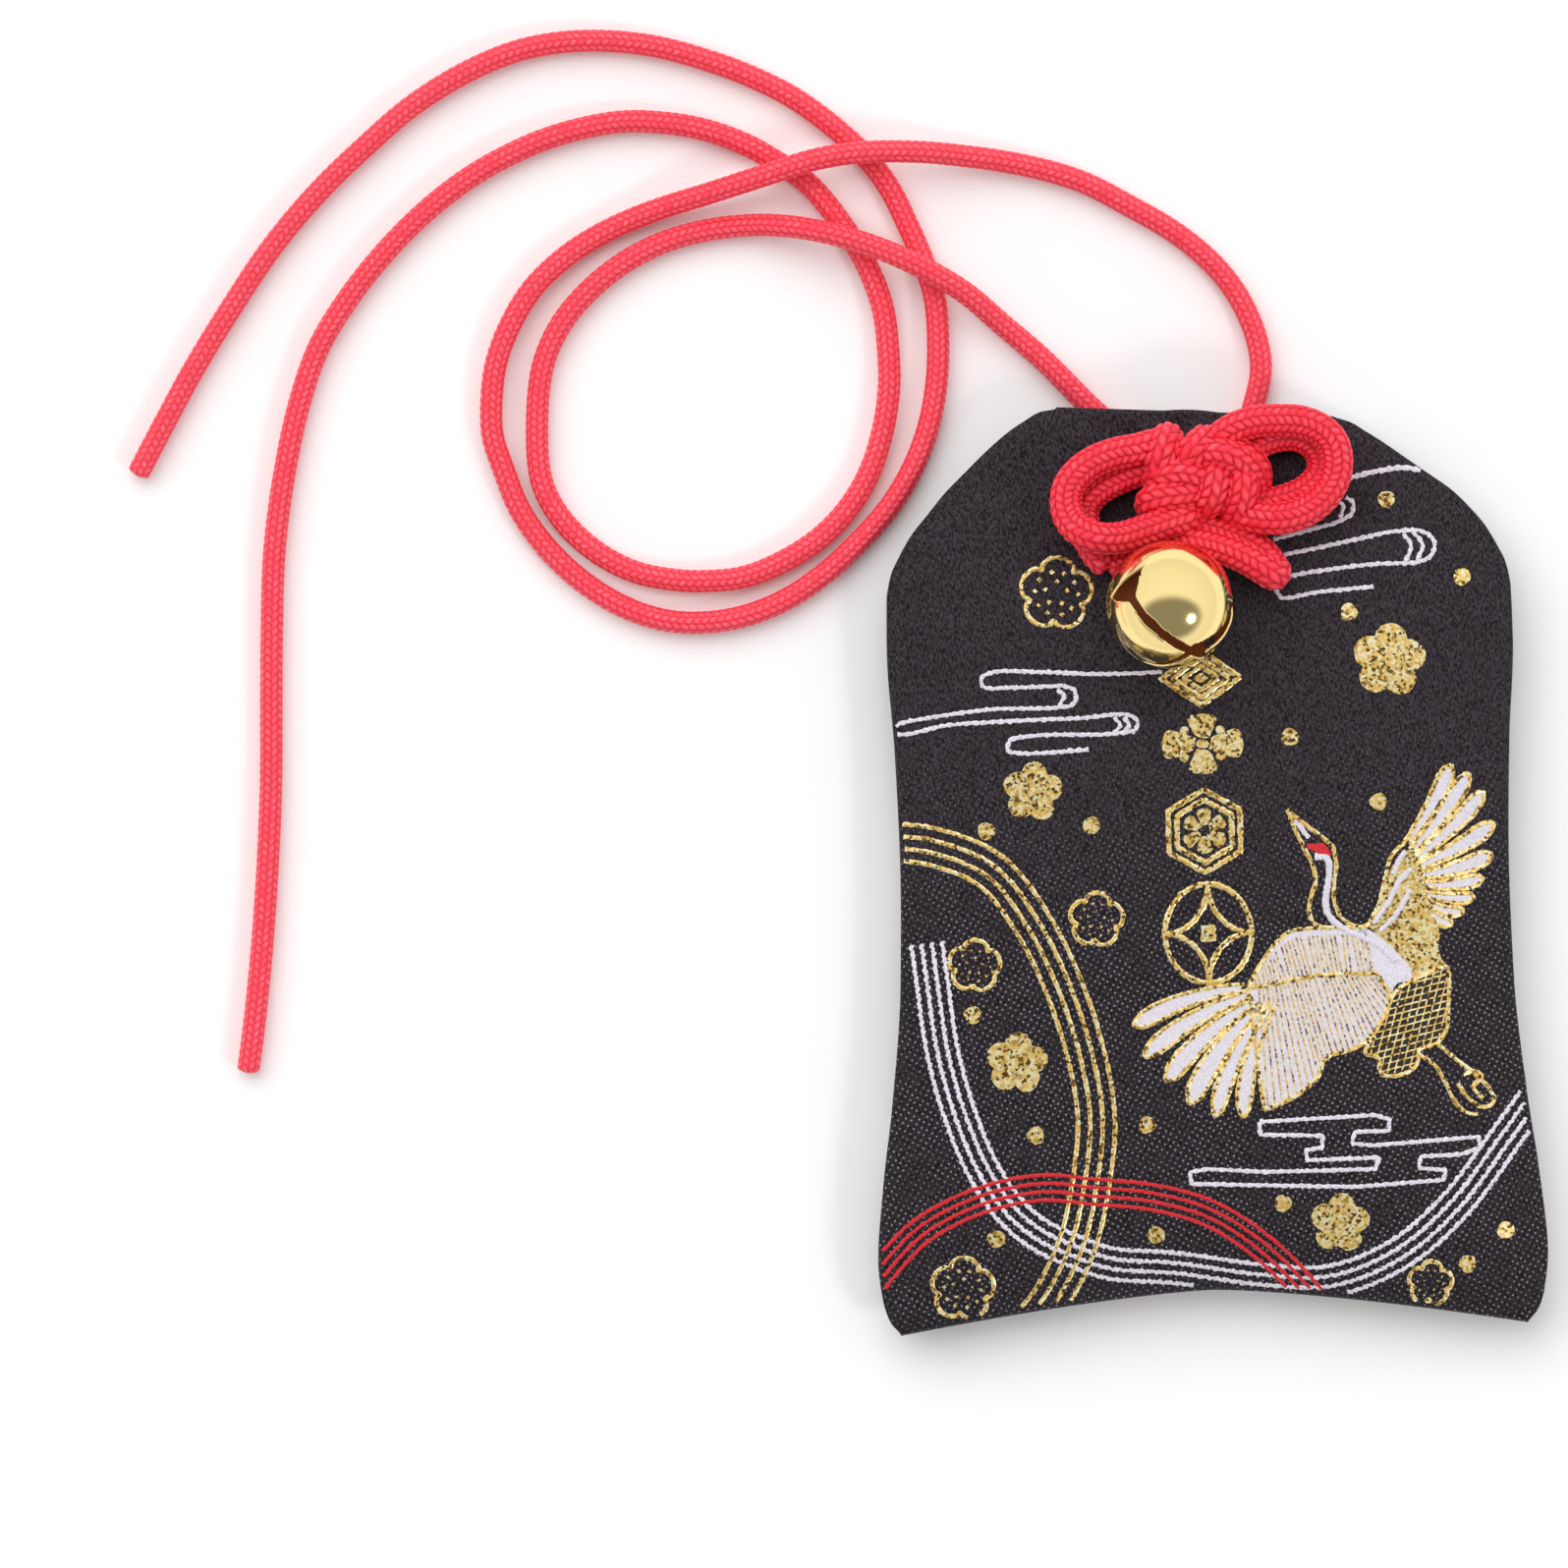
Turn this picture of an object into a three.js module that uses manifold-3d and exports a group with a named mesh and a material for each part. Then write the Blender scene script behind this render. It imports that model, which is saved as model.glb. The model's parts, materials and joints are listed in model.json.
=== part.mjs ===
// Omamori charm: a padded brocade pouch with a knotted cord bow, a small bell and a hanging cord.
// Millimetres, +Z up. The charm lies on its back; +Y runs to the pouch's mouth and z = 0 is the table.
// The cords' routes and the bow are placed from the mouth, so a longer pouch grows at its hem.
import * as THREE from 'three';
import { mergeVertices } from 'three/addons/utils/BufferGeometryUtils.js';
import Module from 'manifold-3d';

const wasm = await Module();
wasm.setup();

// Pouch
const pouchLength = 84;
const mouthY = 42;
const mouthZoneLength = 35.28;
const hemWidth = 61.2;
const waistWidth = 55.6;
const shoulderWidth = 57.2;
const mouthWidth = 28.2;
const hemArch = 3.6;
const frontCrown = 4.5;
const backCrown = 5;
const restFlatDepth = 0.5;
const seamHalfThickness = 0.75;
const clothThickness = 0.7;
const seamAllowance = 1.6;
const seamGroove = 1.1;
const neckRise = 0.3;
const slitWidth = 23;
const slitHalfHeight = 0.3;
const slitDepth = 14;

// Hanging hole and cord
const holeRadius = 3;
const holeX = -0.4;
const holeFromMouth = 6;
const cordDiameter = 2.1;
const stopperWidth = 5.6;
const stopperThickness = 2.2;

// Fillings
const pieceGap = 0.3;
const cardThickness = 0.6;
const cardFromMouth = 12;
const paddingFromMouth = 18;
const fillingSetback = 2.4;
const skinGap = 0.42;
const tabletWidth = 20;
const tabletLength = 34;
const tabletThickness = 0.8;
const wrapperWall = 0.2;
const wrapperOverhang = 2;
const amuletHemGap = 13;
const seamThreadDiameter = 0.4;
const seamThreadSetback = 0.28;

// Bow
const bowCordDiameter = 2.8;
const foldedCordDiameter = 2.6;
const squeezedCordDiameter = 1.9;

// Bell
const bellRadius = 5.8;
const bellWall = 0.4;
const bellX = -3;
const bellY = 24;
const bellZ = 14.2;
const slitGap = 1;
const slitEndDrop = 0.3;
const flareWidth = 3.5;
const flareDepth = 2.2;
const poleLift = THREE.MathUtils.degToRad(32);
const poleHeading = THREE.MathUtils.degToRad(-73.5);
const slitTurn = THREE.MathUtils.degToRad(42);
const eyeWireDiameter = 0.6;
const eyeHoleRadius = 0.6;
const eyeLift = THREE.MathUtils.degToRad(-43.5);
const eyeHeading = THREE.MathUtils.degToRad(107);
const strandHeading = THREE.MathUtils.degToRad(18);
const pelletDiameter = 3;
const overrun = 1;

// Share of the pouch's length, then the share of the width named beside it
const hemWidthShares = [[0, 0.94], [0.012, 0.968], [0.035, 0.988], [0.075, 1], [0.16, 0.98], [0.25, 0.947]];
const waistWidthShares = [[0.375, 1.008], [0.5, 1], [0.632, 1.01]];
const shoulderWidthShares = [
  [0.74, 1], [0.798, 0.997], [0.825, 0.983], [0.846, 0.954], [0.868, 0.916], [0.889, 0.865], [0.911, 0.808],
  [0.932, 0.74], [0.954, 0.668], [0.975, 0.593],
];
const mouthWidthShares = [[0.996, 1.03], [1, 1]];

// Share of the pouch's length, then the share of the crown that its thickness reaches there
const depthShares = [
  [0, 0.17], [0.012, 0.38], [0.03, 0.56], [0.06, 0.74], [0.1, 0.87], [0.16, 0.95], [0.3, 1], [0.58, 0.99],
  [0.7, 0.9], [0.787, 0.755], [0.85, 0.56], [0.9, 0.44], [0.93, 0.39], [1, 0.32],
];
const mouthZoneShare = 0.58;
const neckStartShare = 0.8;
const hemArchPower = 1.4;
const hemArchEndShare = 0.3;
const extraRowShares = [0.2, 0.44, 0.64, 0.825, 0.87, 0.965, 0.99];
const cavityFirstRow = 2;
const fillingFirstRow = 5;
const crownPower = 2.6;
const crownShare = 0.68;
const crownColumnShares = [-1, -0.965, -0.88, -0.7, -0.42, 0, 0.42, 0.7, 0.88, 0.965, 1];
const innerColumnShares = [-1, -0.88, -0.65, -0.35, 0, 0.35, 0.65, 0.88, 1];
const seamStartShare = 0.05;
const seamEndShare = 0.8;
const seamSteps = 30;
const tabletShoulderShare = 0.2;
const holeSides = 20;
const cordSides = 8;
const threadSides = 5;
const wireSides = 6;
const ballSegments = [12, 8];
const shellSegments = [24, 16];
const hollowSegments = [20, 12];
const padSteps = 4;
const strandSteps = 8;
const neckSteps = 10;
const eyeSteps = 20;
const eyeArcPoints = 7;
const hangingSteps = 42;
const gapSamples = 60;
const longGapSamples = 300;

const finishes = {
  brocade: { colour: 0x1d1b1f, roughness: 0.62, metalness: 0 },
  bowCord: { colour: 0xd81e36, roughness: 0.62, metalness: 0 },
  hangingCord: { colour: 0xf5435c, roughness: 0.6, metalness: 0 },
  thread: { colour: 0x232126, roughness: 0.7, metalness: 0 },
  wadding: { colour: 0xe9e7e2, roughness: 0.95, metalness: 0 },
  card: { colour: 0xb59a72, roughness: 0.9, metalness: 0 },
  wood: { colour: 0xd2b07c, roughness: 0.7, metalness: 0 },
  paper: { colour: 0xf3f0e6, roughness: 0.85, metalness: 0 },
  gold: { colour: 0xd9a83c, roughness: 0.2, metalness: 1 },
  steel: { colour: 0x8d8f92, roughness: 0.35, metalness: 1 },
};

function material(name) {
  const { colour, roughness, metalness } = finishes[name];
  return new THREE.MeshStandardMaterial({ color: colour, roughness, metalness });
}

const charm = new THREE.Group();

function addPiece(name, geometry, finish, parent = charm) {
  const mesh = new THREE.Mesh(geometry, material(finish));
  mesh.name = name;
  parent.add(mesh);
  return mesh;
}

// Booleans
function toSolid(geometry) {
  const bare = geometry.clone();
  bare.deleteAttribute('normal');
  bare.deleteAttribute('uv');
  const merged = mergeVertices(bare);
  const vertProperties = new Float32Array(merged.attributes.position.array);
  const triVerts = new Uint32Array(merged.index.array);
  return new wasm.Manifold(new wasm.Mesh({ numProp: 3, vertProperties, triVerts }));
}

function toGeometry(solid) {
  const mesh = solid.getMesh();
  const geometry = new THREE.BufferGeometry();
  geometry.setAttribute('position', new THREE.BufferAttribute(mesh.vertProperties, 3));
  geometry.setIndex(new THREE.BufferAttribute(mesh.triVerts, 1));
  geometry.computeVertexNormals();
  return geometry;
}

function cut(geometry, ...cutters) {
  return toGeometry(cutters.reduce((solid, cutter) => solid.subtract(toSolid(cutter)), toSolid(geometry)));
}

function join(...geometries) {
  const [first, ...rest] = geometries.map(toSolid);
  return toGeometry(rest.reduce((solid, other) => solid.add(other), first));
}

// Pouch outline and thickness
function readTable(table, at) {
  const next = table.findIndex(([share]) => share >= at);
  if (next <= 0) return table[next === 0 ? 0 : table.length - 1][1];
  const [lowShare, lowValue] = table[next - 1];
  const [highShare, highValue] = table[next];
  return THREE.MathUtils.lerp(lowValue, highValue, (at - lowShare) / (highShare - lowShare));
}

const widthTable = [
  ...hemWidthShares.map(([at, share]) => [at, share * hemWidth]),
  ...waistWidthShares.map(([at, share]) => [at, share * waistWidth]),
  ...shoulderWidthShares.map(([at, share]) => [at, share * shoulderWidth]),
  ...mouthWidthShares.map(([at, share]) => [at, share * mouthWidth]),
];

const pouchTop = mouthY;
const pouchLow = pouchTop - pouchLength;
const zoneY = pouchTop - mouthZoneLength;
const bodyMidZ = backCrown - restFlatDepth;

// The zone at the mouth keeps its length; the rest of the shares stretch over what is left of the pouch
const lengthShare = (y) => (y > zoneY
  ? 1 - (1 - mouthZoneShare) * (pouchTop - y) / mouthZoneLength
  : mouthZoneShare * (y - pouchLow) / (zoneY - pouchLow));
const heightAt = (share) => (share > mouthZoneShare
  ? pouchTop - mouthZoneLength * (1 - share) / (1 - mouthZoneShare)
  : pouchLow + (zoneY - pouchLow) * share / mouthZoneShare);
const halfWidth = (y) => readTable(widthTable, lengthShare(y)) / 2;
const midZ = (y) => bodyMidZ + neckRise * THREE.MathUtils.smoothstep(lengthShare(y), neckStartShare, 1);
const crown = (u) => Math.max(0, 1 - Math.abs(u) ** crownPower) ** crownShare;
const depth = (u, y, size) => Math.max(
  seamHalfThickness,
  seamHalfThickness + (size * readTable(depthShares, lengthShare(y)) - seamHalfThickness) * crown(u),
);

const pouchFront = (x, y) => midZ(y) + depth(x / halfWidth(y), y, frontCrown);
const pouchBack = (x, y) => Math.max(0, midZ(y) - depth(x / halfWidth(y), y, backCrown));
const hemFade = (y) => 1 - THREE.MathUtils.smoothstep(lengthShare(y), 0, hemArchEndShare);
const hemLift = (u, y) => hemArch * (1 - Math.abs(u) ** hemArchPower) * hemFade(y);

// A closed padded form: a front and a back skin over one grid, joined by an edge that may be drawn in.
function paddedForm({ rows, columns, reach, front, back, groove = 0 }) {
  const points = [];
  const grid = { front: [], back: [] };
  const place = (x, y, z) => points.push(new THREE.Vector3(x, y, z)) - 1;
  for (const y of rows) {
    const spots = columns.map((u) => [u * reach(y), y + hemLift(u, y)]);
    grid.front.push(spots.map(([x, yy]) => place(x, yy, front(x, y))));
    grid.back.push(spots.map(([x, yy]) => place(x, yy, back(x, y))));
  }
  const faces = [];
  const quad = (a, b, c, d) => faces.push([a, b, c], [a, c, d]);
  const lastRow = rows.length - 1;
  const lastColumn = columns.length - 1;
  for (let i = 0; i < lastRow; i += 1) {
    for (let j = 0; j < lastColumn; j += 1) {
      quad(grid.front[i][j], grid.front[i][j + 1], grid.front[i + 1][j + 1], grid.front[i + 1][j]);
      quad(grid.back[i][j], grid.back[i + 1][j], grid.back[i + 1][j + 1], grid.back[i][j + 1]);
    }
  }
  const rim = [
    ...columns.slice(0, -1).map((_, j) => [0, j]),
    ...rows.slice(0, -1).map((_, i) => [i, lastColumn]),
    ...columns.slice(1).map((_, j) => [lastRow, lastColumn - j]),
    ...rows.slice(1).map((_, i) => [lastRow - i, 0]),
  ];
  const seam = rim.map(([i, j]) => {
    const high = points[grid.front[i][j]];
    const low = points[grid.back[i][j]];
    const inset = i > 0 && i < lastRow ? groove : 0;
    return place(high.x - Math.sign(high.x) * inset, high.y, (high.z + low.z) / 2);
  });
  rim.forEach(([i, j], k) => {
    const next = (k + 1) % rim.length;
    const [ni, nj] = rim[next];
    quad(grid.front[i][j], seam[k], seam[next], grid.front[ni][nj]);
    quad(seam[k], grid.back[i][j], grid.back[ni][nj], seam[next]);
  });
  const geometry = new THREE.BufferGeometry();
  geometry.setFromPoints(points);
  geometry.setIndex(faces.flat());
  return geometry;
}

// Tubes
function section(diameter, sides) {
  const turn = (k) => (2 * Math.PI * k) / sides;
  const corner = (k) => new THREE.Vector2(Math.cos(turn(k)), Math.sin(turn(k))).multiplyScalar(diameter / 2);
  return new THREE.Shape(Array.from({ length: sides }, (_, k) => corner(k)));
}

function curveThrough(points) {
  const spots = points.map(([x, y, z]) => new THREE.Vector3(x, y, z));
  return new THREE.CatmullRomCurve3(spots, false, 'centripetal');
}

function tube(points, diameter, steps, sides = cordSides) {
  const extrudePath = curveThrough(points);
  return new THREE.ExtrudeGeometry(section(diameter, sides), { steps, extrudePath, bevelEnabled: false });
}

// Least gap between stretches of a route that lie at least a half turn of cord apart
function leastSelfGap(points, diameter, samples = gapSamples) {
  const spots = curveThrough(points).getSpacedPoints(samples);
  const apart = Math.ceil((Math.PI * diameter) / spots[0].distanceTo(spots[1]));
  const distances = spots.flatMap((spot, i) => spots.slice(i + apart).map((other) => spot.distanceTo(other)));
  return Math.min(...distances) - diameter;
}

// Pouch: one strip folded at the hem, closed at the sides, open in a slit at the mouth
const rowShares = [...depthShares.map(([share]) => share), ...extraRowShares];
const pouchRows = rowShares.map(heightAt).sort((a, b) => a - b);
const holeY = pouchTop - holeFromMouth;

function makePouch() {
  const outer = paddedForm({
    rows: pouchRows,
    columns: crownColumnShares,
    reach: halfWidth,
    front: pouchFront,
    back: pouchBack,
    groove: seamGroove,
  });
  const cavity = paddedForm({
    rows: pouchRows.slice(cavityFirstRow, -1),
    columns: innerColumnShares,
    reach: (y) => halfWidth(y) - seamAllowance,
    front: (x, y) => Math.max(midZ(y) + slitHalfHeight, pouchFront(x, y) - clothThickness),
    back: (x, y) => Math.min(midZ(y) - slitHalfHeight, pouchBack(x, y) + clothThickness),
  });
  const slit = new THREE.BoxGeometry(slitWidth, slitDepth, 2 * slitHalfHeight);
  slit.translate(0, pouchTop - slitDepth / 2 + overrun, midZ(pouchTop));
  const hole = new THREE.CylinderGeometry(holeRadius, holeRadius, 2 * (frontCrown + backCrown), holeSides);
  hole.rotateX(Math.PI / 2);
  hole.translate(holeX, holeY, bodyMidZ);
  return cut(outer, cavity, slit, hole);
}

// Fillings
function fillingRows(fromMouth) {
  const top = pouchTop - fromMouth;
  return pouchRows.slice(fillingFirstRow).filter((y) => y < top).concat(top);
}

const fillingReach = (y) => halfWidth(y) - seamAllowance - fillingSetback;
const cardFace = (y) => midZ(y) + cardThickness / 2;
const wrapperThickness = tabletThickness + 2 * (pieceGap + wrapperWall);
const wrapperWidth = tabletWidth + 2 * (pieceGap + wrapperWall);
const wrapperLength = tabletLength + 2 * wrapperOverhang;
const amuletY = pouchLow + amuletHemGap + wrapperLength / 2;
const amuletZ = bodyMidZ + cardThickness / 2 + pieceGap + wrapperThickness / 2;

function slab(width, length, thickness) {
  const geometry = new THREE.BoxGeometry(width, length, thickness);
  geometry.translate(0, amuletY, amuletZ);
  return geometry;
}

function makeCard() {
  return paddedForm({
    rows: fillingRows(cardFromMouth),
    columns: [-1, 0, 1],
    reach: fillingReach,
    front: (x, y) => cardFace(y),
    back: (x, y) => cardFace(y) - cardThickness,
  });
}

function makeFrontPadding() {
  const pad = paddedForm({
    rows: fillingRows(paddingFromMouth),
    columns: innerColumnShares,
    reach: fillingReach,
    front: (x, y) => pouchFront(x, y) - clothThickness - skinGap,
    back: (x, y) => cardFace(y) + pieceGap,
  });
  const room = 2 * pieceGap;
  return cut(pad, slab(wrapperWidth + room, wrapperLength + room, wrapperThickness + room));
}

function makeBackPadding() {
  return paddedForm({
    rows: fillingRows(paddingFromMouth),
    columns: innerColumnShares,
    reach: fillingReach,
    front: (x, y) => cardFace(y) - cardThickness - pieceGap,
    back: (x, y) => pouchBack(x, y) + clothThickness + skinGap,
  });
}

function makeTablet() {
  const half = tabletWidth / 2;
  const shoulder = tabletWidth * tabletShoulderShare;
  const shape = new THREE.Shape([
    new THREE.Vector2(-half, -tabletLength / 2),
    new THREE.Vector2(half, -tabletLength / 2),
    new THREE.Vector2(half, tabletLength / 2 - shoulder),
    new THREE.Vector2(half - shoulder, tabletLength / 2),
    new THREE.Vector2(shoulder - half, tabletLength / 2),
    new THREE.Vector2(-half, tabletLength / 2 - shoulder),
  ]);
  const geometry = new THREE.ExtrudeGeometry(shape, { depth: tabletThickness, bevelEnabled: false });
  geometry.translate(0, amuletY, amuletZ - tabletThickness / 2);
  return geometry;
}

function makeWrapper() {
  const sleeve = slab(wrapperWidth, wrapperLength, wrapperThickness);
  const walls = 2 * wrapperWall;
  return cut(sleeve, slab(wrapperWidth - walls, wrapperLength + 2 * overrun, wrapperThickness - walls));
}

// Side seam threads, each in its groove
function makeSeamThread(side) {
  const rows = pouchRows.filter((y) => lengthShare(y) > seamStartShare && lengthShare(y) < seamEndShare);
  const route = rows.map((y) => [side * (halfWidth(y) - seamThreadSetback), y, midZ(y)]);
  return tube(route, seamThreadDiameter, seamSteps, threadSides);
}

// Bow: one knotted cord, in the stretches that show
const bowStretches = {
  bow_loop_left_outer: [
    [-4.7, 38.6, 10.2], [-6.4, 38.5, 10.2], [-9.2, 37.7, 10.2], [-10.8, 36.7, 10.2],
    [-12.1, 35.2, 10.2], [-12.6, 33.7, 10.4],
    [-12.4, 32.2, 11], [-11.2, 31.1, 11.9], [-9.4, 30.8, 12.3], [-7.4, 30.8, 12.3], [-5.8, 31, 12.3],
    [-4.6, 31.2, 12.2],
  ],
  bow_loop_left_inner: [
    [-5.1, 36, 8.6], [-6.6, 35.7, 8.3], [-8.1, 35.1, 8.2], [-9.1, 34.2, 8.2], [-9.8, 33.1, 8.3],
    [-10.1, 31.7, 8.6],
    [-10.5, 30.4, 9], [-10.6, 29.2, 9.3], [-10.1, 28.2, 9.4],
  ],
  bow_tail_loop: [
    [-1, 30, 9.6], [1, 29.3, 10.4], [2.9, 28.4, 11.2], [4.7, 27.3, 11.5], [6.2, 26.3, 11.4],
    [7.4, 25.8, 10.6],
    [7.7, 26.3, 9.4], [7.1, 27.7, 8.8], [5.9, 28.9, 8.7], [4.8, 29.5, 8.7],
  ],
  bow_loop_right_outer: [
    [4.6, 40, 10], [5.8, 40.8, 9.9], [7.6, 41.2, 9.9], [9.7, 41.1, 9.9], [11.8, 40.2, 9.9], [12.9, 38.5, 9.9],
    [13.1, 36.7, 9.9], [12.7, 34.9, 9.9], [11.6, 33.3, 10.1], [9.8, 32.1, 10.6], [8.1, 31.6, 11.2],
    [6.9, 31.5, 11.6],
  ],
  bow_loop_right_inner: [
    [6.3, 38.3, 8.2], [7.2, 38.8, 8], [8.6, 38.9, 8], [9.9, 38.4, 8], [10.6, 37.4, 8], [10.6, 36.2, 8.1],
    [9.8, 35.2, 8.2], [8.5, 34.4, 8.3], [7.4, 34, 8.5],
  ],
};
const bowPads = {
  bow_knot_top: [
    [[-2.9, 40.6, 8.3], [-2.9, 39.6, 10.2], [-2.9, 37.7, 10.7]],
    [[-0.5, 40.6, 8.3], [-0.5, 39.6, 10.2], [-0.5, 37.7, 10.7]],
  ],
  bow_knot_left: [
    [[-4.4, 35.9, 10.1], [-3.2, 35.9, 10.7], [0.1, 35.9, 10.8]],
    [[-4.4, 34.2, 10.1], [-3.2, 34.2, 10.7], [0.1, 34.2, 10.8]],
  ],
  bow_knot_bottom: [
    [[1.9, 32.3, 9.9], [1.9, 33.2, 10.6], [1.9, 35.3, 10.8]],
    [[4.1, 32.4, 9.9], [4.1, 33.2, 10.6], [4.1, 35.3, 10.8]],
  ],
  bow_knot_right: [
    [[1.4, 38.9, 10.8], [3.2, 38.6, 10.7], [4.1, 38, 10.3]],
    [[1.4, 37.2, 10.8], [3, 37.2, 10.7], [4, 36.9, 10.3]],
  ],
};
const bellStrand = [
  [-8.5, 27.7, 9.2], [-6.6, 28.2, 9.3], [-4.5, 28.9, 9.4], [-2.9, 29.4, 9.4], [-2.2, 29.6, 9.4],
];

// Hanging cord: one cord doubled at the stopper, its two halves passing through the hole to the back
const neckLeft = [
  [-1.6, 36, 6.1], [-1.6, 36, 4], [-1.9, 36.3, 2.4], [-3.2, 37.3, 1.45], [-5, 38.7, 1.3], [-7, 40.3, 1.25],
];
const neckRight = [
  [0.8, 36, 6.1], [0.8, 36, 4], [1.1, 36.3, 2.4], [2.1, 37.3, 1.45], [3.4, 38.7, 1.3], [4.7, 40.2, 1.25],
];
const hangingLeft = [
  [-7.4, 40.7, 1.25], [-9.4, 42.5, 1.25], [-13.8, 47.1, 1.25], [-17.4, 50.3, 1.6], [-20.9, 53.3, 3],
  [-25.5, 56, 3.9],
  [-29.1, 57.6, 3.9], [-32.8, 58.8, 3.9], [-36.5, 59.6, 3], [-40.1, 59.9, 1.6], [-44, 59.6, 1.25],
  [-48.1, 58.6, 1.25],
  [-51.9, 56.8, 1.25], [-55.3, 54.2, 1.25], [-57.9, 51.2, 1.25], [-59.6, 47.6, 1.25], [-60.3, 42.4, 1.25],
  [-60, 36.8, 1.25], [-58.4, 33.5, 1.25], [-55.5, 30.5, 1.25], [-51.9, 28.4, 1.25], [-48.2, 27.5, 1.25],
  [-45, 27.3, 1.25], [-41.6, 27.6, 1.25], [-37.9, 29, 1.25], [-34.5, 31.1, 1.25], [-31.9, 33.7, 1.25],
  [-29.9, 36.9, 1.25], [-28.6, 40.6, 1.25], [-27.9, 44.6, 1.25], [-27.9, 48.3, 1.25], [-28.3, 52, 1.25],
  [-29.6, 55.8, 1.25], [-31.7, 59.5, 1.25], [-34.9, 63.6, 1.25], [-37.8, 65.7, 1.25], [-40.7, 67.4, 1.25],
  [-44.4, 68.8, 1.25], [-48, 69.5, 1.25], [-51.7, 69.7, 1.25], [-55.4, 69.2, 1.25], [-59.1, 68.2, 1.25],
  [-62.9, 66.6, 1.25], [-66.6, 64.5, 1.25], [-70.4, 61.6, 1.25], [-74.1, 58, 1.25], [-77.4, 54, 1.25],
  [-80.2, 49.6, 1.25], [-82.1, 44.5, 1.25], [-83.6, 38.2, 1.25], [-84.7, 31, 1.25], [-85.1, 23.8, 1.25],
  [-85.3, 16.6, 1.25], [-85.5, 9.3, 1.25], [-86.1, 0.3, 1.25], [-86.8, -6.9, 1.25], [-87.6, -13.2, 1.25],
  [-88.2, -17, 1.25],
];
const hangingRight = [
  [5.05, 40.9, 1.25], [5.6, 42.4, 1.25], [6.3, 45.3, 1.25], [6.1, 48, 1.25], [4.8, 51.6, 1.25],
  [2.6, 54.9, 1.25],
  [-0.9, 58.1, 1.25], [-5.4, 60.9, 1.25], [-9.9, 63.3, 1.25], [-15.2, 64.9, 1.4], [-20.6, 65.8, 2.2],
  [-25.2, 66.2, 3.6],
  [-30.4, 66.2, 3.9], [-34.5, 65.6, 3.9], [-38.6, 64.4, 3.9], [-43.8, 62.9, 3], [-49.5, 61.3, 1.6],
  [-53.7, 59.6, 1.25],
  [-57.2, 57.5, 1.25], [-60.4, 54.6, 1.25], [-62.6, 51.2, 1.25], [-64, 47.6, 1.25], [-64.5, 43.6, 1.25],
  [-64.4, 41, 1.25],
  [-63.5, 38, 1.25], [-62.1, 34.3, 1.25], [-59.6, 30.6, 1.25], [-56.3, 27.4, 1.25], [-52.7, 25.1, 1.25],
  [-49, 23.8, 1.25], [-45.5, 23.5, 1.25], [-41.7, 24, 1.25], [-37.9, 25.4, 1.25], [-34.4, 27.6, 1.25],
  [-31.3, 30.3, 1.25], [-28.2, 33.6, 1.25], [-25.9, 37.2, 1.25], [-24.4, 40.9, 1.25], [-23.6, 44.5, 1.25],
  [-23.3, 48.2, 1.25], [-23.5, 52.7, 1.25], [-24.4, 56, 1.25], [-25.8, 59.5, 1.25], [-27.5, 63.1, 1.25],
  [-29.7, 66.1, 1.25], [-32.6, 68.9, 1.25], [-36.2, 71.6, 1.25], [-39.8, 73.5, 1.25], [-43.5, 75, 1.25],
  [-49, 76.6, 1.25], [-55, 77.2, 1.25], [-60.6, 76.6, 1.25], [-65.6, 74.8, 1.25], [-71.1, 71.6, 1.25],
  [-75.7, 67.8, 1.25], [-79.9, 63.9, 1.25], [-84.3, 58.9, 1.25], [-88.3, 53.2, 1.25], [-91.7, 47.9, 1.25],
  [-94.5, 43, 1.25], [-97.2, 38.1, 1.25],
];

function makeStopper() {
  const geometry = new THREE.SphereGeometry(stopperWidth / 2, ...ballSegments);
  geometry.scale(1, 1, stopperThickness / stopperWidth);
  geometry.translate(holeX, holeY, pouchFront(holeX, holeY) + pieceGap + stopperThickness / 2);
  return geometry;
}

// Bell
function direction(lift, heading) {
  const level = new THREE.Vector3(Math.cos(heading), Math.sin(heading), 0);
  return level.multiplyScalar(Math.cos(lift)).setZ(Math.sin(lift));
}

const bellCentre = new THREE.Vector3(bellX, bellY, bellZ);
const pole = direction(poleLift, poleHeading);
const eyeAxis = direction(eyeLift, eyeHeading);
const strandAxis = direction(0, strandHeading);
const eyeSide = new THREE.Vector3().crossVectors(strandAxis, eyeAxis).normalize();
const eyeCentreReach = bellRadius + pieceGap + squeezedCordDiameter / 2;
const eyeRadius = squeezedCordDiameter / 2 + pieceGap + eyeWireDiameter / 2;
const fromBell = (reach, side) => eyeAxis.clone().multiplyScalar(reach).addScaledVector(eyeSide, side);

function turnToPole(geometry) {
  const up = new THREE.Vector3(0, 0, 1);
  geometry.rotateZ(slitTurn);
  geometry.applyQuaternion(new THREE.Quaternion().setFromUnitVectors(up, pole));
  return geometry;
}

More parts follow.
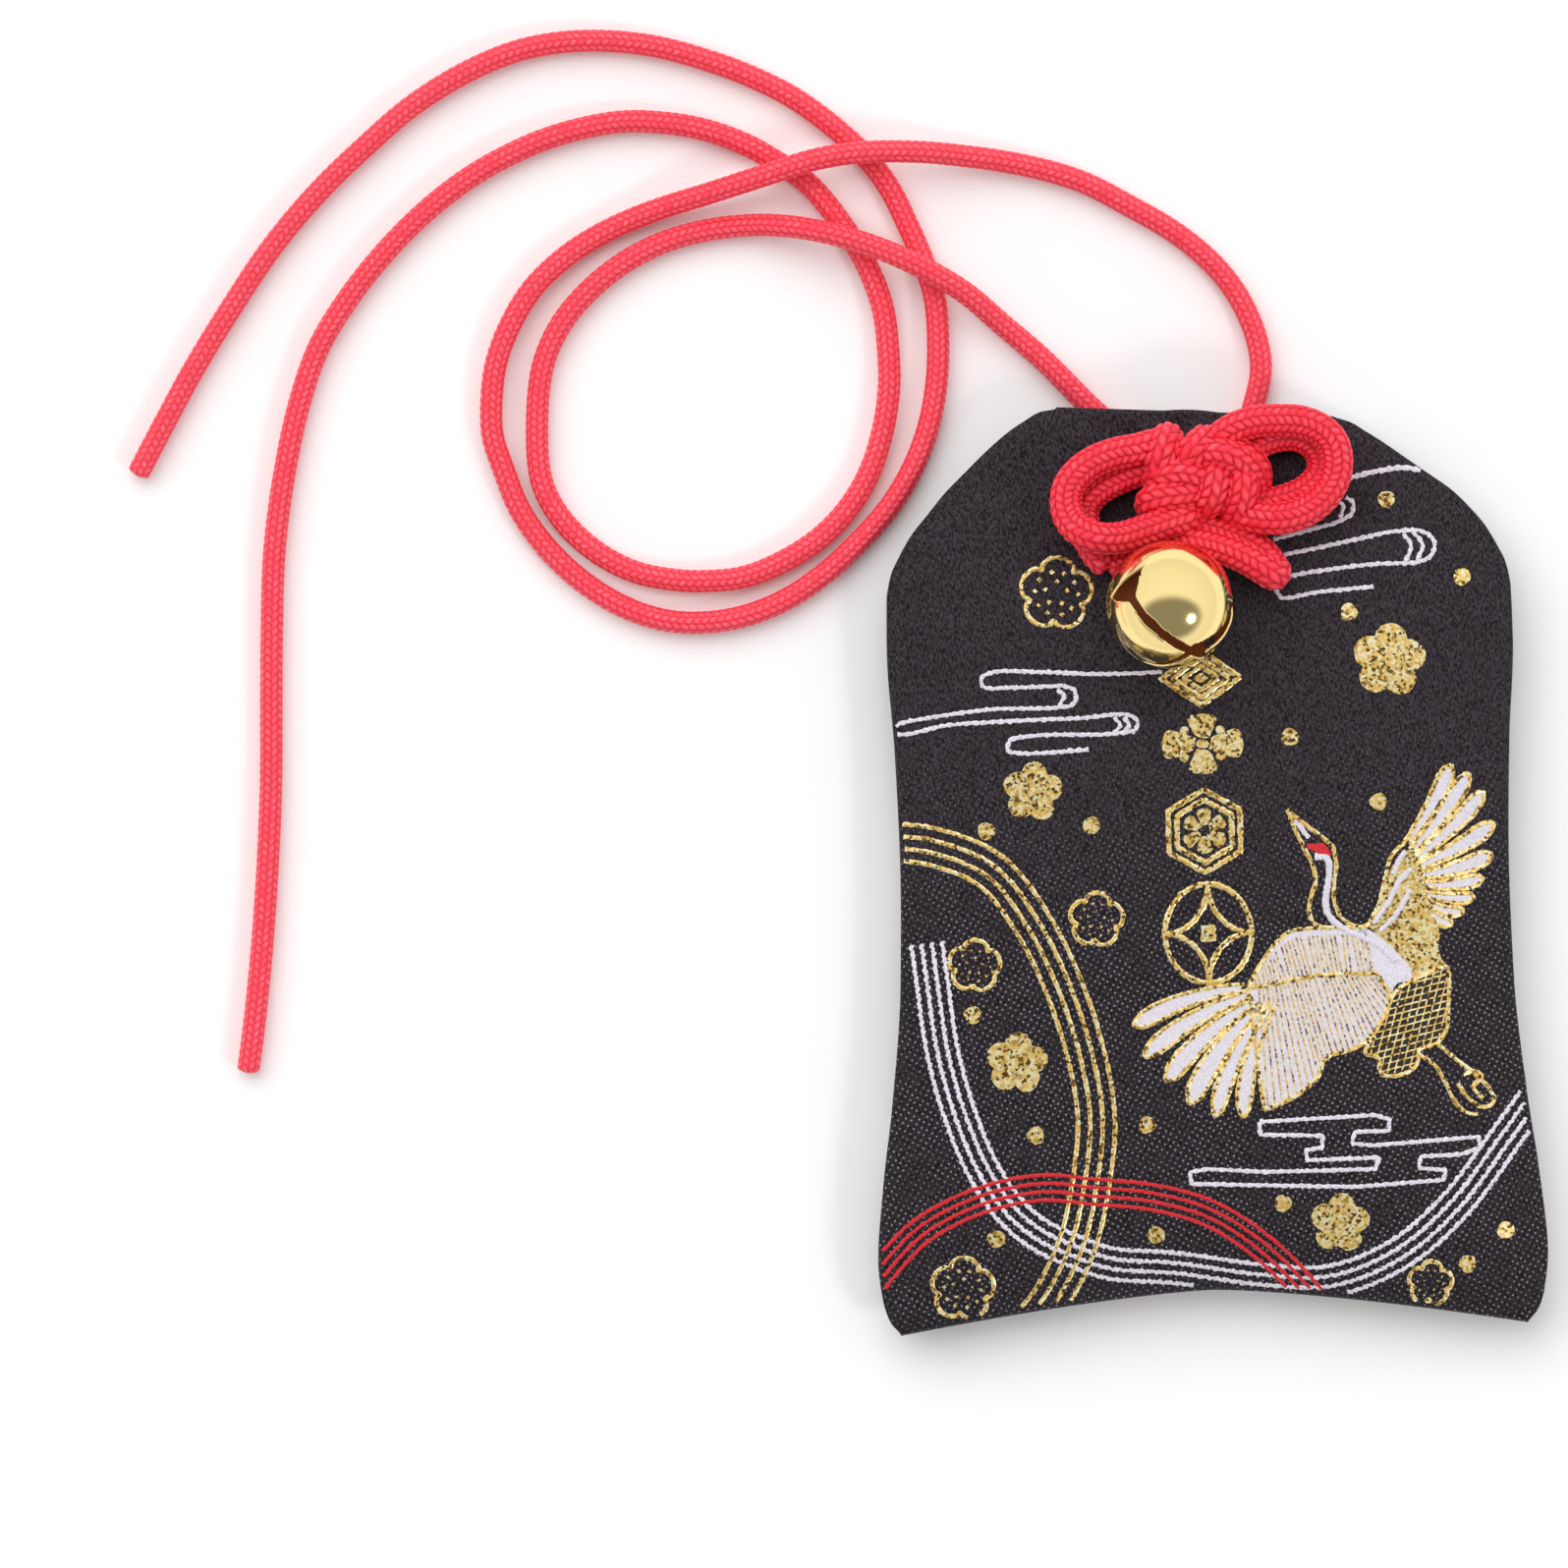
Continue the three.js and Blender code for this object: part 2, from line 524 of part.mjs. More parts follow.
function makeBellShell() {
  const outer = new THREE.SphereGeometry(bellRadius, ...shellSegments);
  const inner = new THREE.SphereGeometry(bellRadius - bellWall, ...hollowSegments);
  outer.rotateX(Math.PI / 2);
  inner.rotateX(Math.PI / 2);
  const slitHeight = bellRadius + slitEndDrop + overrun;
  const slits = [0, Math.PI / 2].map((turn) => {
    const slit = new THREE.BoxGeometry(2 * (bellRadius + overrun), slitGap, slitHeight);
    slit.translate(0, 0, slitHeight / 2 - slitEndDrop);
    slit.rotateZ(turn);
    return slit;
  });
  const flares = Array.from({ length: 4 }, (_, k) => {
    const shape = new THREE.Shape([
      new THREE.Vector2(-flareWidth / 2, -slitEndDrop),
      new THREE.Vector2(flareWidth / 2, -slitEndDrop),
      new THREE.Vector2(slitGap / 2, flareDepth),
      new THREE.Vector2(-slitGap / 2, flareDepth),
    ]);
    const flare = new THREE.ExtrudeGeometry(shape, { depth: bellRadius, bevelEnabled: false });
    flare.rotateX(Math.PI / 2);
    flare.translate(0, bellRadius + pelletDiameter / 2 + overrun, 0);
    flare.rotateZ(k * Math.PI / 2);
    return flare;
  });
  const cutters = [...slits, ...flares].map(turnToPole);
  const legs = [-1, 1].map((side) => {
    const leg = new THREE.CylinderGeometry(eyeHoleRadius, eyeHoleRadius, bellRadius, cordSides);
    leg.applyQuaternion(new THREE.Quaternion().setFromUnitVectors(new THREE.Vector3(0, 1, 0), eyeAxis));
    leg.translate(...fromBell(bellRadius, side * eyeRadius).toArray());
    return leg;
  });
  const shell = cut(outer, inner, ...cutters, ...legs);
  shell.translate(...bellCentre.toArray());
  return shell;
}

function makeEye() {
  const spot = (reach, side) => fromBell(reach, side).add(bellCentre).toArray();
  const arc = Array.from({ length: eyeArcPoints }, (_, k) => {
    const angle = (k / (eyeArcPoints - 1)) * Math.PI;
    return spot(eyeCentreReach + eyeRadius * Math.sin(angle), eyeRadius * Math.cos(angle));
  });
  const foot = bellRadius - bellWall - eyeWireDiameter;
  return tube([spot(foot, eyeRadius), ...arc, spot(foot, -eyeRadius)], eyeWireDiameter, eyeSteps, wireSides);
}

function makePellet() {
  const geometry = new THREE.SphereGeometry(pelletDiameter / 2, ...ballSegments);
  const drop = bellRadius - bellWall - pieceGap - pelletDiameter / 2;
  geometry.translate(bellX, bellY, bellZ - drop);
  return geometry;
}

// Assembly
addPiece('brocade_pouch', makePouch(), 'brocade');
addPiece('padding_front', makeFrontPadding(), 'wadding');
addPiece('padding_back', makeBackPadding(), 'wadding');
addPiece('stiffener_card', makeCard(), 'card');
addPiece('amulet_tablet', makeTablet(), 'wood');
addPiece('amulet_wrapper', makeWrapper(), 'paper');
addPiece('side_seam_left', makeSeamThread(-1), 'thread');
addPiece('side_seam_right', makeSeamThread(1), 'thread');

const bow = new THREE.Group();
charm.add(bow);
for (const [name, route] of Object.entries(bowStretches)) {
  const diameter = name === 'bow_tail_loop' ? foldedCordDiameter : bowCordDiameter;
  addPiece(name, tube(route, diameter, 2 * route.length), 'bowCord', bow);
  console.log(name, 'least gap to itself', leastSelfGap(route, diameter).toFixed(2), 'mm');
}
for (const [name, strands] of Object.entries(bowPads)) {
  addPiece(name, join(...strands.map((strand) => tube(strand, bowCordDiameter, padSteps))), 'bowCord', bow);
}

const bell = new THREE.Group();
bow.add(bell);
addPiece('bell_strand', tube(bellStrand, squeezedCordDiameter, strandSteps), 'bowCord', bell);
addPiece('bell_shell', makeBellShell(), 'gold', bell);
addPiece('bell_eye', makeEye(), 'gold', bell);
addPiece('bell_pellet', makePellet(), 'steel', bell);

const hanging = new THREE.Group();
charm.add(hanging);
addPiece('hanging_cord_stopper', makeStopper(), 'hangingCord', hanging);
addPiece('hanging_cord_neck_left', tube(neckLeft, cordDiameter, neckSteps), 'hangingCord', hanging);
addPiece('hanging_cord_neck_right', tube(neckRight, cordDiameter, neckSteps), 'hangingCord', hanging);
for (const [name, route] of [['hanging_cord_left', hangingLeft], ['hanging_cord_right', hangingRight]]) {
  addPiece(name, tube(route, cordDiameter, hangingSteps), 'hangingCord', hanging);
  const selfGap = leastSelfGap(route, cordDiameter, longGapSamples);
  console.log(name, 'length', curveThrough(route).getLength().toFixed(1), 'mm');
  console.log(name, 'least gap to itself', selfGap.toFixed(2), 'mm');
}

export default charm;
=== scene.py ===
"""An omamori charm on white paper: a padded brocade pouch, a knotted cord bow, a small bell and a hanging cord."""

import json
import logging
import math
from dataclasses import dataclass, field
from enum import Enum
from itertools import cycle
from typing import Callable, Iterable, Sequence

import bpy
import numpy as np
from mathutils import Matrix, Vector
from mathutils.geometry import delaunay_2d_cdt

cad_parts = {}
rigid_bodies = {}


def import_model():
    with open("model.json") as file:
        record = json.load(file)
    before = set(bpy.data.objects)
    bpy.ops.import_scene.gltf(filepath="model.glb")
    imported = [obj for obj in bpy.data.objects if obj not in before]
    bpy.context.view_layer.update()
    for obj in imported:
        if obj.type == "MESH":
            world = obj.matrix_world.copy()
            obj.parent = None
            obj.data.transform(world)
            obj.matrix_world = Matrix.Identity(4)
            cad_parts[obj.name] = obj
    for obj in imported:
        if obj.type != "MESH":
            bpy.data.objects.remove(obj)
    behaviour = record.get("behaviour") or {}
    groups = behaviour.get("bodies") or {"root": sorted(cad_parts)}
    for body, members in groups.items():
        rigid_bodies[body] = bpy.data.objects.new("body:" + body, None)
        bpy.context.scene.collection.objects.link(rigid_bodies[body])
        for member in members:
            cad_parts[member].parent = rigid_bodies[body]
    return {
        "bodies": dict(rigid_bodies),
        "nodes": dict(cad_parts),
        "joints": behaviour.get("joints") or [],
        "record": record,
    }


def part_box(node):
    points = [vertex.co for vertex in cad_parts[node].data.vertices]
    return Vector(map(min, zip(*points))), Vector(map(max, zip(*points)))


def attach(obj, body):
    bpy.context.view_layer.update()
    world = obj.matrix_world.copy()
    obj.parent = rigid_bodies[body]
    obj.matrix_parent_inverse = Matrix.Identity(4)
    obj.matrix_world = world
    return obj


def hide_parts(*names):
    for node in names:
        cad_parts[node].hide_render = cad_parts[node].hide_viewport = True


LOG = logging.getLogger("charm")
SEED = 11
MILLIMETRE = 0.001

Point = Sequence[float]
Line = Sequence[Point]
Table = Sequence[tuple[float, float]]
Colour = tuple[float, float, float]
Socket = bpy.types.NodeSocket


# Shader trees
class Tree:
    """A node tree, with short calls for the nodes that the finishes and the sky use."""

    def __init__(self, owner: bpy.types.Material | bpy.types.World) -> None:
        """Empties a node tree.

        Args:
            owner: The material or world whose tree it is.
        """
        owner.use_nodes = True
        self.tree = owner.node_tree
        self.tree.nodes.clear()

    def node(self, kind: str, *inputs: object, **settings: object) -> bpy.types.Node:
        """Adds a node.

        Args:
            kind: The node's type, without its prefix.
            inputs: A socket or constant for each of its first inputs.
            settings: Properties of the node.

        Returns:
            The node.
        """
        made = self.tree.nodes.new("ShaderNode" + kind)
        for name, value in settings.items():
            setattr(made, name, value)
        for place, value in enumerate(inputs):
            self.feed(made.inputs[place], value)
        return made

    def feed(self, target: Socket, value: object) -> None:
        """Links an input to a socket, or sets it to a constant.

        Args:
            target: The input.
            value: The socket or constant.
        """
        if isinstance(value, Socket):
            self.tree.links.new(value, target)
        elif value is not None:
            target.default_value = (*value, 1) if target.type == "RGBA" else value

    def times(self, first: object, second: object) -> Socket:
        """Multiplies two values or sockets."""
        return self.node("Math", first, second, operation="MULTIPLY").outputs[0]

    def remap(self, value: Socket, *limits: float, kind: str = "SMOOTHSTEP") -> Socket:
        """Maps a range to another, clamped: the limits are its low and high ends, then what they become."""
        return self.node("MapRange", value, *limits, interpolation_type=kind).outputs[0]


class Shader(Tree):
    """A material's tree round its surface."""

    def __init__(self, name: str) -> None:
        """Starts a material.

        Args:
            name: Its name.
        """
        self.material = bpy.data.materials.new(name)
        super().__init__(self.material)
        self.surface = self.node("BsdfPrincipled")
        self.node("OutputMaterial", self.surface.outputs["BSDF"])

    def blend(self, share: object, first: object, second: object) -> Socket:
        """Mixes two colours.

        Args:
            share: How much of the second shows.
            first: A colour or socket.
            second: A colour or socket.

        Returns:
            The mixed colour's socket.
        """
        made = self.node("Mix", share, data_type="RGBA")
        self.feed(made.inputs[6], first)
        self.feed(made.inputs[7], second)
        return made.outputs[2]

    def place(self, scale: Point = (1, 1, 1), turn: float = 0.0) -> Socket:
        """Gives the object's own coordinates.

        Args:
            scale: The scale along each axis.
            turn: The turn about the upright axis, in degrees.

        Returns:
            The coordinates' socket.
        """
        mapping = self.node("Mapping", self.node("TexCoord").outputs["Object"])
        mapping.inputs["Scale"].default_value = scale
        mapping.inputs["Rotation"].default_value = (0, 0, math.radians(turn))
        return mapping.outputs["Vector"]

    def noise(self, where: Socket, scale: float, detail: float = 2.0) -> Socket:
        """Gives a noise value for each place."""
        return self.node("TexNoise", where, None, scale, detail).outputs[0]

    def attribute(self, name: str) -> Socket:
        """Reads a value stored on the mesh."""
        return self.node("Attribute", attribute_name=name).outputs["Fac"]

    def bump(self, height: Socket, strength: float, distance: float) -> None:
        """Bends the surface's light by a height.

        Args:
            height: The height's socket.
            strength: How strong the bump is.
            distance: The height's size, in metres.
        """
        made = self.node("Bump")
        for name, value in (("Strength", strength), ("Distance", distance), ("Height", height)):
            self.feed(made.inputs[name], value)
        self.feed(self.surface.inputs["Normal"], made.outputs["Normal"])

    def give(self, **values: object) -> None:
        """Sets the surface's inputs, with underscores for the spaces in their names."""
        for name, value in values.items():
            self.feed(self.surface.inputs[name.replace("_", " ")], value)


def darker(colour: Colour, share: float) -> Colour:
    """Gives a share of a colour."""
    return tuple(share * part for part in colour)


@dataclass(frozen=True)
class Finish:
    """A finish: what it is made of and the record's slot that it belongs to."""

    slot: str
    colour: Colour
    roughness: float

    def shade(self, shader: Shader) -> None:
        """Dresses the surface. Plain finishes need no more than this."""
        shader.give(Base_Color=self.colour, Roughness=self.roughness)

    def label(self) -> str:
        """Gives the finish's name, which its colour makes its own."""
        return "_".join([type(self).__name__, self.slot, *(str(round(100 * part)) for part in self.colour)])

    def material(self) -> bpy.types.Material:
        """Gives the finish's material, made on first use.

        Returns:
            The material.
        """
        found = bpy.data.materials.get(self.label())
        if found is None:
            shader = Shader(self.label())
            self.shade(shader)
            found = shader.material
        return found

    def dress(self, piece: bpy.types.Object, body: str, *nodes: str) -> bpy.types.Object:
        """Gives a piece this finish, its body and the CAD nodes that it stands for.

        Args:
            piece: The piece.
            body: The CAD body that it rides on.
            nodes: The CAD nodes that it replaces.

        Returns:
            The piece.
        """
        piece.data.materials.clear()
        piece.data.materials.append(self.material())
        if body:
            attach(piece, body)
        if nodes:
            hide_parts(*nodes)
        LOG.info("%s: %d faces, %s", piece.name, len(piece.data.polygons), self.slot)
        return piece


# Finishes
@dataclass(frozen=True)
class BrocadeGround(Finish):
    """The pouch's dark satin ground, with its weave and the pale flecks of its twill line."""

    slot: str = "brocade"
    colour: Colour = (0.024, 0.019, 0.0235)
    roughness: float = 0.6
    dark_share: float = 0.3
    light_share: float = 2.15
    fleck_colour: Colour = (0.36, 0.33, 0.37)
    fleck_scale: float = 1850.0
    fleck_low: float = 0.05
    fleck_high: float = 0.24
    fleck_top: float = 0.015
    fleck_full: float = -0.012
    fleck_share: float = 0.8
    fleck_fade: float = 0.1
    fleck_jitter: float = 0.2
    patch_scale: float = 520.0
    streak_scale: float = 5600.0
    streak_stretch: float = 0.5
    shadow_colour: Colour = (0.004, 0.003, 0.004)
    shadow_share: float = 0.36
    twill_angle: float = 31.0
    relief: float = 0.00008

    def shade(self, shader: Shader) -> None:
        """Dresses the cloth.

        Args:
            shader: The material's tree.
        """
        twill = shader.place(turn=self.twill_angle)
        flecks = shader.node("TexVoronoi", twill, None, self.fleck_scale, voronoi_dimensions="2D")
        flecks.inputs["Randomness"].default_value = self.fleck_jitter
        fleck = shader.remap(flecks.outputs["Distance"], self.fleck_low, self.fleck_high, 1.0, 0.0)
        patches = shader.remap(shader.noise(shader.place(), self.patch_scale, 3.0), 0.36, 0.6, 0.3, 1.0)
        along = shader.node("SeparateXYZ", shader.place()).outputs["Y"]
        faded = shader.remap(along, self.fleck_full, self.fleck_top, 1.0, self.fleck_fade)
        shown = shader.times(shader.times(fleck, patches), faded)
        slanted = shader.place(scale=(1.0, self.streak_stretch, 1.0), turn=self.twill_angle)
        streaks = shader.noise(slanted, self.streak_scale, 3.0)
        dark, light = darker(self.colour, self.dark_share), darker(self.colour, self.light_share)
        cloth = shader.blend(shader.remap(streaks, 0.34, 0.68, 0.0, 1.0), dark, light)
        cloth = shader.blend(shader.times(faded, self.shadow_share), cloth, self.shadow_colour)
        colour = shader.blend(shader.times(shown, self.fleck_share), cloth, self.fleck_colour)
        shader.bump(streaks, 0.6, self.relief)
        shader.give(Base_Color=colour, Roughness=self.roughness, Specular_IOR_Level=0.12)


@dataclass(frozen=True)
class MetalThread(Finish):
    """Woven metal thread: a flat foil wound on a core, with its glints and dark reflections painted as bright and dark
    grains.
    """

    slot: str = "brocade"
    colour: Colour = (0.92, 0.61, 0.16)
    roughness: float = 0.3
    # Painted shade for the darker grains, then painted glint for the brightest ones
    deep_colour: Colour = (0.12, 0.058, 0.010)
    bright_colour: Colour = (1.0, 0.92, 0.56)
    grain_scale: float = 3900.0
    relief: float = 0.00006
    metallic: float = 0.62

    def shade(self, shader: Shader) -> None:
        """Dresses the thread.

        Args:
            shader: The material's tree.
        """
        grains = shader.node("TexVoronoi", shader.place(), None, self.grain_scale)
        tone = shader.node("SeparateColor", grains.outputs["Color"]).outputs["Red"]
        # Painted shade and highlight: some grains at random are darkened, and others are brightened into glints
        dark = shader.blend(shader.remap(tone, 0.06, 0.40, 0.0, 1.0), self.deep_colour, self.colour)
        colour = shader.blend(shader.remap(tone, 0.5, 0.85, 0.0, 0.95), dark, self.bright_colour)
        shader.bump(tone, 0.7, self.relief)
        shader.give(Base_Color=colour, Roughness=self.roughness, Metallic=self.metallic)


@dataclass(frozen=True)
class BraidedCord(Finish):
    """Braided rayon cord, with painted highlight on the grains and painted shade where they dive."""

    slot: str = "bow_cord"
    colour: Colour = (0.88, 0.018, 0.042)
    roughness: float = 0.52
    # Painted shade for the braid's valleys, then painted highlight for its grain tops
    deep_colour: Colour = (0.42, 0.003, 0.013)
    light_colour: Colour = (0.97, 0.085, 0.125)
    fibre_scale: float = 5200.0
    relief: float = 0.00004
    sheen: float = 0.06

    def shade(self, shader: Shader) -> None:
        """Dresses the cord, painting shade low in the braid and highlights on its grain tops, by how high each spot
        stands.

        Args:
            shader: The material's tree.
        """
        grain = shader.attribute("grain")
        tone = shader.attribute("tone")
        fibres = shader.noise(shader.place(), self.fibre_scale)
        # Painted shade: the valleys between the grains are darkened
        lifted = shader.blend(shader.remap(grain, 0.08, 0.72, 0.0, 1.0), self.deep_colour, self.colour)
        # Painted highlight: the grain tops are lightened, more on some grains than on others
        top = shader.times(shader.remap(grain, 0.55, 1.0, 0.0, 1.0), tone)
        colour = shader.blend(top, lifted, self.light_colour)
        shader.bump(fibres, 0.35, self.relief)
        shader.give(Base_Color=colour, Roughness=self.roughness, Specular_IOR_Level=0.35)
        shader.give(Sheen_Weight=self.sheen, Sheen_Roughness=0.4)


@dataclass(frozen=True)
class Metal(Finish):
    """Polished metal."""

    slot: str = "gilt_brass"
    colour: Colour = (0.98, 0.77, 0.34)
    roughness: float = 0.12
    metallic: float = 1.0
    waves: float = 0.06
    wave_scale: float = 300.0
    wave_height: float = 0.0003

    def shade(self, shader: Shader) -> None:
        """Dresses the metal, with the soft waves that pressing leaves."""
        shader.bump(shader.noise(shader.place(), self.wave_scale, 1.0), self.waves, self.wave_height)
        shader.give(Base_Color=self.colour, Roughness=self.roughness, Metallic=self.metallic)


@dataclass(frozen=True)
class Fibrous(Finish):
    """Card, paper, wood, wadding or silk: matt, with a streaked or cloudy tone."""

    slot: str = "card"
    colour: Colour = (0.46, 0.33, 0.17)
    roughness: float = 0.85
    streaks: Point = (1.0, 1.0, 1.0)
    scale: float = 400.0
    detail: float = 4.0
    tones: tuple[float, float] = (0.35, 0.65)
    low_share: float = 0.8
    relief: float = 0.0001
    relief_share: float = 0.3

    def shade(self, shader: Shader) -> None:
        """Dresses the piece.

        Args:
            shader: The material's tree.
        """
        grain = shader.noise(shader.place(scale=self.streaks), self.scale, self.detail)
        low = darker(self.colour, self.low_share)
        colour = shader.blend(shader.remap(grain, *self.tones, 0.0, 1.0), low, self.colour)
        shader.bump(grain, self.relief_share, self.relief)
        shader.give(Base_Color=colour, Roughness=self.roughness)


@dataclass(frozen=True)
class SilkThread(Fibrous):
    """Woven silk thread, matt, with a fine twist."""

    slot: str = "brocade"
    colour: Colour = (0.78, 0.73, 0.82)
    roughness: float = 0.62
    scale: float = 5200.0
    detail: float = 2.0
    tones: tuple[float, float] = (0.36, 0.6)
    low_share: float = 0.68
    relief: float = 0.00005
    relief_share: float = 0.5


@dataclass(frozen=True)
class Sewing(Finish):
    """Sewing thread."""

    slot: str = "seam_thread"
    colour: Colour = (0.018, 0.015, 0.019)
    roughness: float = 0.6


# Mesh tools
def put(name: str, data: bpy.types.ID) -> bpy.types.Object:
    """Puts an object with this data into the scene, at the origin.

    Args:
        name: Its name.
        data: Its mesh, light or camera.

    Returns:
        The object.
    """
    made = bpy.data.objects.new(name, data)
    bpy.context.scene.collection.objects.link(made)
    return made


def make_mesh(
    name: str, points: np.ndarray, faces: Iterable[Sequence[int]], values: dict[str, np.ndarray] | None = None
) -> bpy.types.Object:
    """Makes a smooth-shaded mesh object at the origin.

    Args:
        name: The piece's name.
        points: Its vertices, in metres.
        faces: Its faces, as vertex numbers.
        values: Values to store for each vertex, by name.

    Returns:
        The object.
    """
    mesh = bpy.data.meshes.new(name)
    mesh.from_pydata([tuple(point) for point in np.asarray(points, float)], [], [tuple(map(int, f)) for f in faces])
    for key, numbers in (values or {}).items():
        stored = mesh.attributes.new(key, "FLOAT", "POINT")
        stored.data.foreach_set("value", np.asarray(numbers, np.float32))
    mesh.shade_smooth()
    return put(name, mesh)


def grid_faces(index: np.ndarray, closed: bool = False) -> np.ndarray:
    """Gives the four-sided faces between a grid's points, whose rows may each run round to their start."""
    here, ahead = (index, np.roll(index, -1, axis=1)) if closed else (index[:, :-1], index[:, 1:])
    return np.stack([here[:-1], ahead[:-1], ahead[1:], here[1:]], axis=-1).reshape(-1, 4)


def switch(mode: str) -> None:
    """Switches to EDIT or OBJECT mode."""
    bpy.ops.object.mode_set(mode=mode)


def select_only(*pieces: bpy.types.Object) -> None:
    """Selects pieces and nothing else.

    Args:
        pieces: The pieces, the first of which becomes the active one.
    """
    bpy.ops.object.select_all(action="DESELECT")
    for piece in pieces:
        piece.select_set(True)
    bpy.context.view_layer.objects.active = pieces[0] if pieces else None


def modify(piece: bpy.types.Object, kind: str, **settings: object) -> None:
    """Applies a modifier to a piece.

    Args:
        piece: The piece.
        kind: The modifier's type.
        settings: Its settings.
    """
    select_only(piece)
    change = piece.modifiers.new(kind, kind)
    for name, value in settings.items():
        setattr(change, name, value)
    bpy.ops.object.modifier_apply(modifier=change.name)


def straight_line(points: Line, spacing: float) -> np.ndarray:
    """Samples a line that runs straight between its points.

    Args:
        points: The points.
        spacing: The distance between samples.

    Returns:
        The samples.
    """
    points = np.asarray(points, float)
    run = np.concatenate([[0], np.cumsum(np.linalg.norm(np.diff(points, axis=0), axis=1))])
    even = np.linspace(0, run[-1], max(2, int(round(run[-1] / spacing)) + 1))
    return np.stack([np.interp(even, run, points[:, axis]) for axis in range(points.shape[1])], axis=1)


def smooth_line(points: Line, spacing: float) -> np.ndarray:
    """Runs a centripetal curve through points and samples it evenly.

    Args:
        points: The points that the line passes through.
        spacing: The distance between samples.

    Returns:
        The samples, one row each.
    """
    given = np.asarray(points, float)
    ends = (2 * given[0] - given[1], 2 * given[-1] - given[-2])
    knots = np.vstack([ends[0], given, ends[1]])
    dense = [given[0]]
    shares = np.linspace(0, 1, 25)[1:, None]
    for p0, p1, p2, p3 in zip(knots, knots[1:], knots[2:], knots[3:]):
        t1 = max(np.linalg.norm(p1 - p0), 1e-9) ** 0.5
        t2 = t1 + max(np.linalg.norm(p2 - p1), 1e-9) ** 0.5
        t3 = t2 + max(np.linalg.norm(p3 - p2), 1e-9) ** 0.5
        t = t1 + shares * (t2 - t1)
        a1 = p0 + (p1 - p0) * t / t1
        a2 = p1 + (p2 - p1) * (t - t1) / (t2 - t1)
        a3 = p2 + (p3 - p2) * (t - t2) / (t3 - t2)
        b1 = a1 + (a2 - a1) * t / t2
        b2 = a2 + (a3 - a2) * (t - t1) / (t3 - t1)
        dense.extend(b1 + (b2 - b1) * (t - t1) / (t2 - t1))
    return straight_line(dense, spacing)


def line_length(line: np.ndarray) -> float:
    """Measures a line."""
    return float(np.linalg.norm(np.diff(line, axis=0), axis=1).sum())


def tube_points(line: np.ndarray, radius: np.ndarray) -> np.ndarray:
    """Sets rings of points round a line, carried along it without twist.

    Args:
        line: The line's points.
        radius: The radius at each ring's points, one row for each point of the line.

    Returns:
        The rings' points, ring after ring.
    """
    along = np.gradient(line, axis=0)
    along /= np.linalg.norm(along, axis=1)[:, None]
    start = np.cross(along[0], (0, 0, 1.0))
    if np.linalg.norm(start) < 0.2:
        start = np.cross(along[0], (0, 1.0, 0))
    side = [start / np.linalg.norm(start)]
    for ahead in along[1:]:
        carried = side[-1] - ahead * side[-1].dot(ahead)
        side.append(carried / np.linalg.norm(carried))
    side = np.array(side)
    up = np.cross(along, side)
    sides = radius.shape[1]
    turn = 2 * math.pi * np.arange(sides) / sides
    across, rise = (radius * np.cos(turn))[..., None], (radius * np.sin(turn))[..., None]
    return (line[:, None] + across * side[:, None] + rise * up[:, None]).reshape(-1, 3)


def thin_tube(name: str, line: np.ndarray, radius: float, sides: int = 8) -> bpy.types.Object:
    """Builds a plain round tube with closed ends.

    Args:
        name: The piece's name.
        line: The centreline.
        radius: The tube's radius.
        sides: How many sides it has.

    Returns:
        The piece.
    """
    points = tube_points(line, np.full((len(line), sides), radius))
    index = np.arange(len(points)).reshape(len(line), sides)
    return make_mesh(name, points, [*grid_faces(index, closed=True), index[0][::-1], index[-1]])


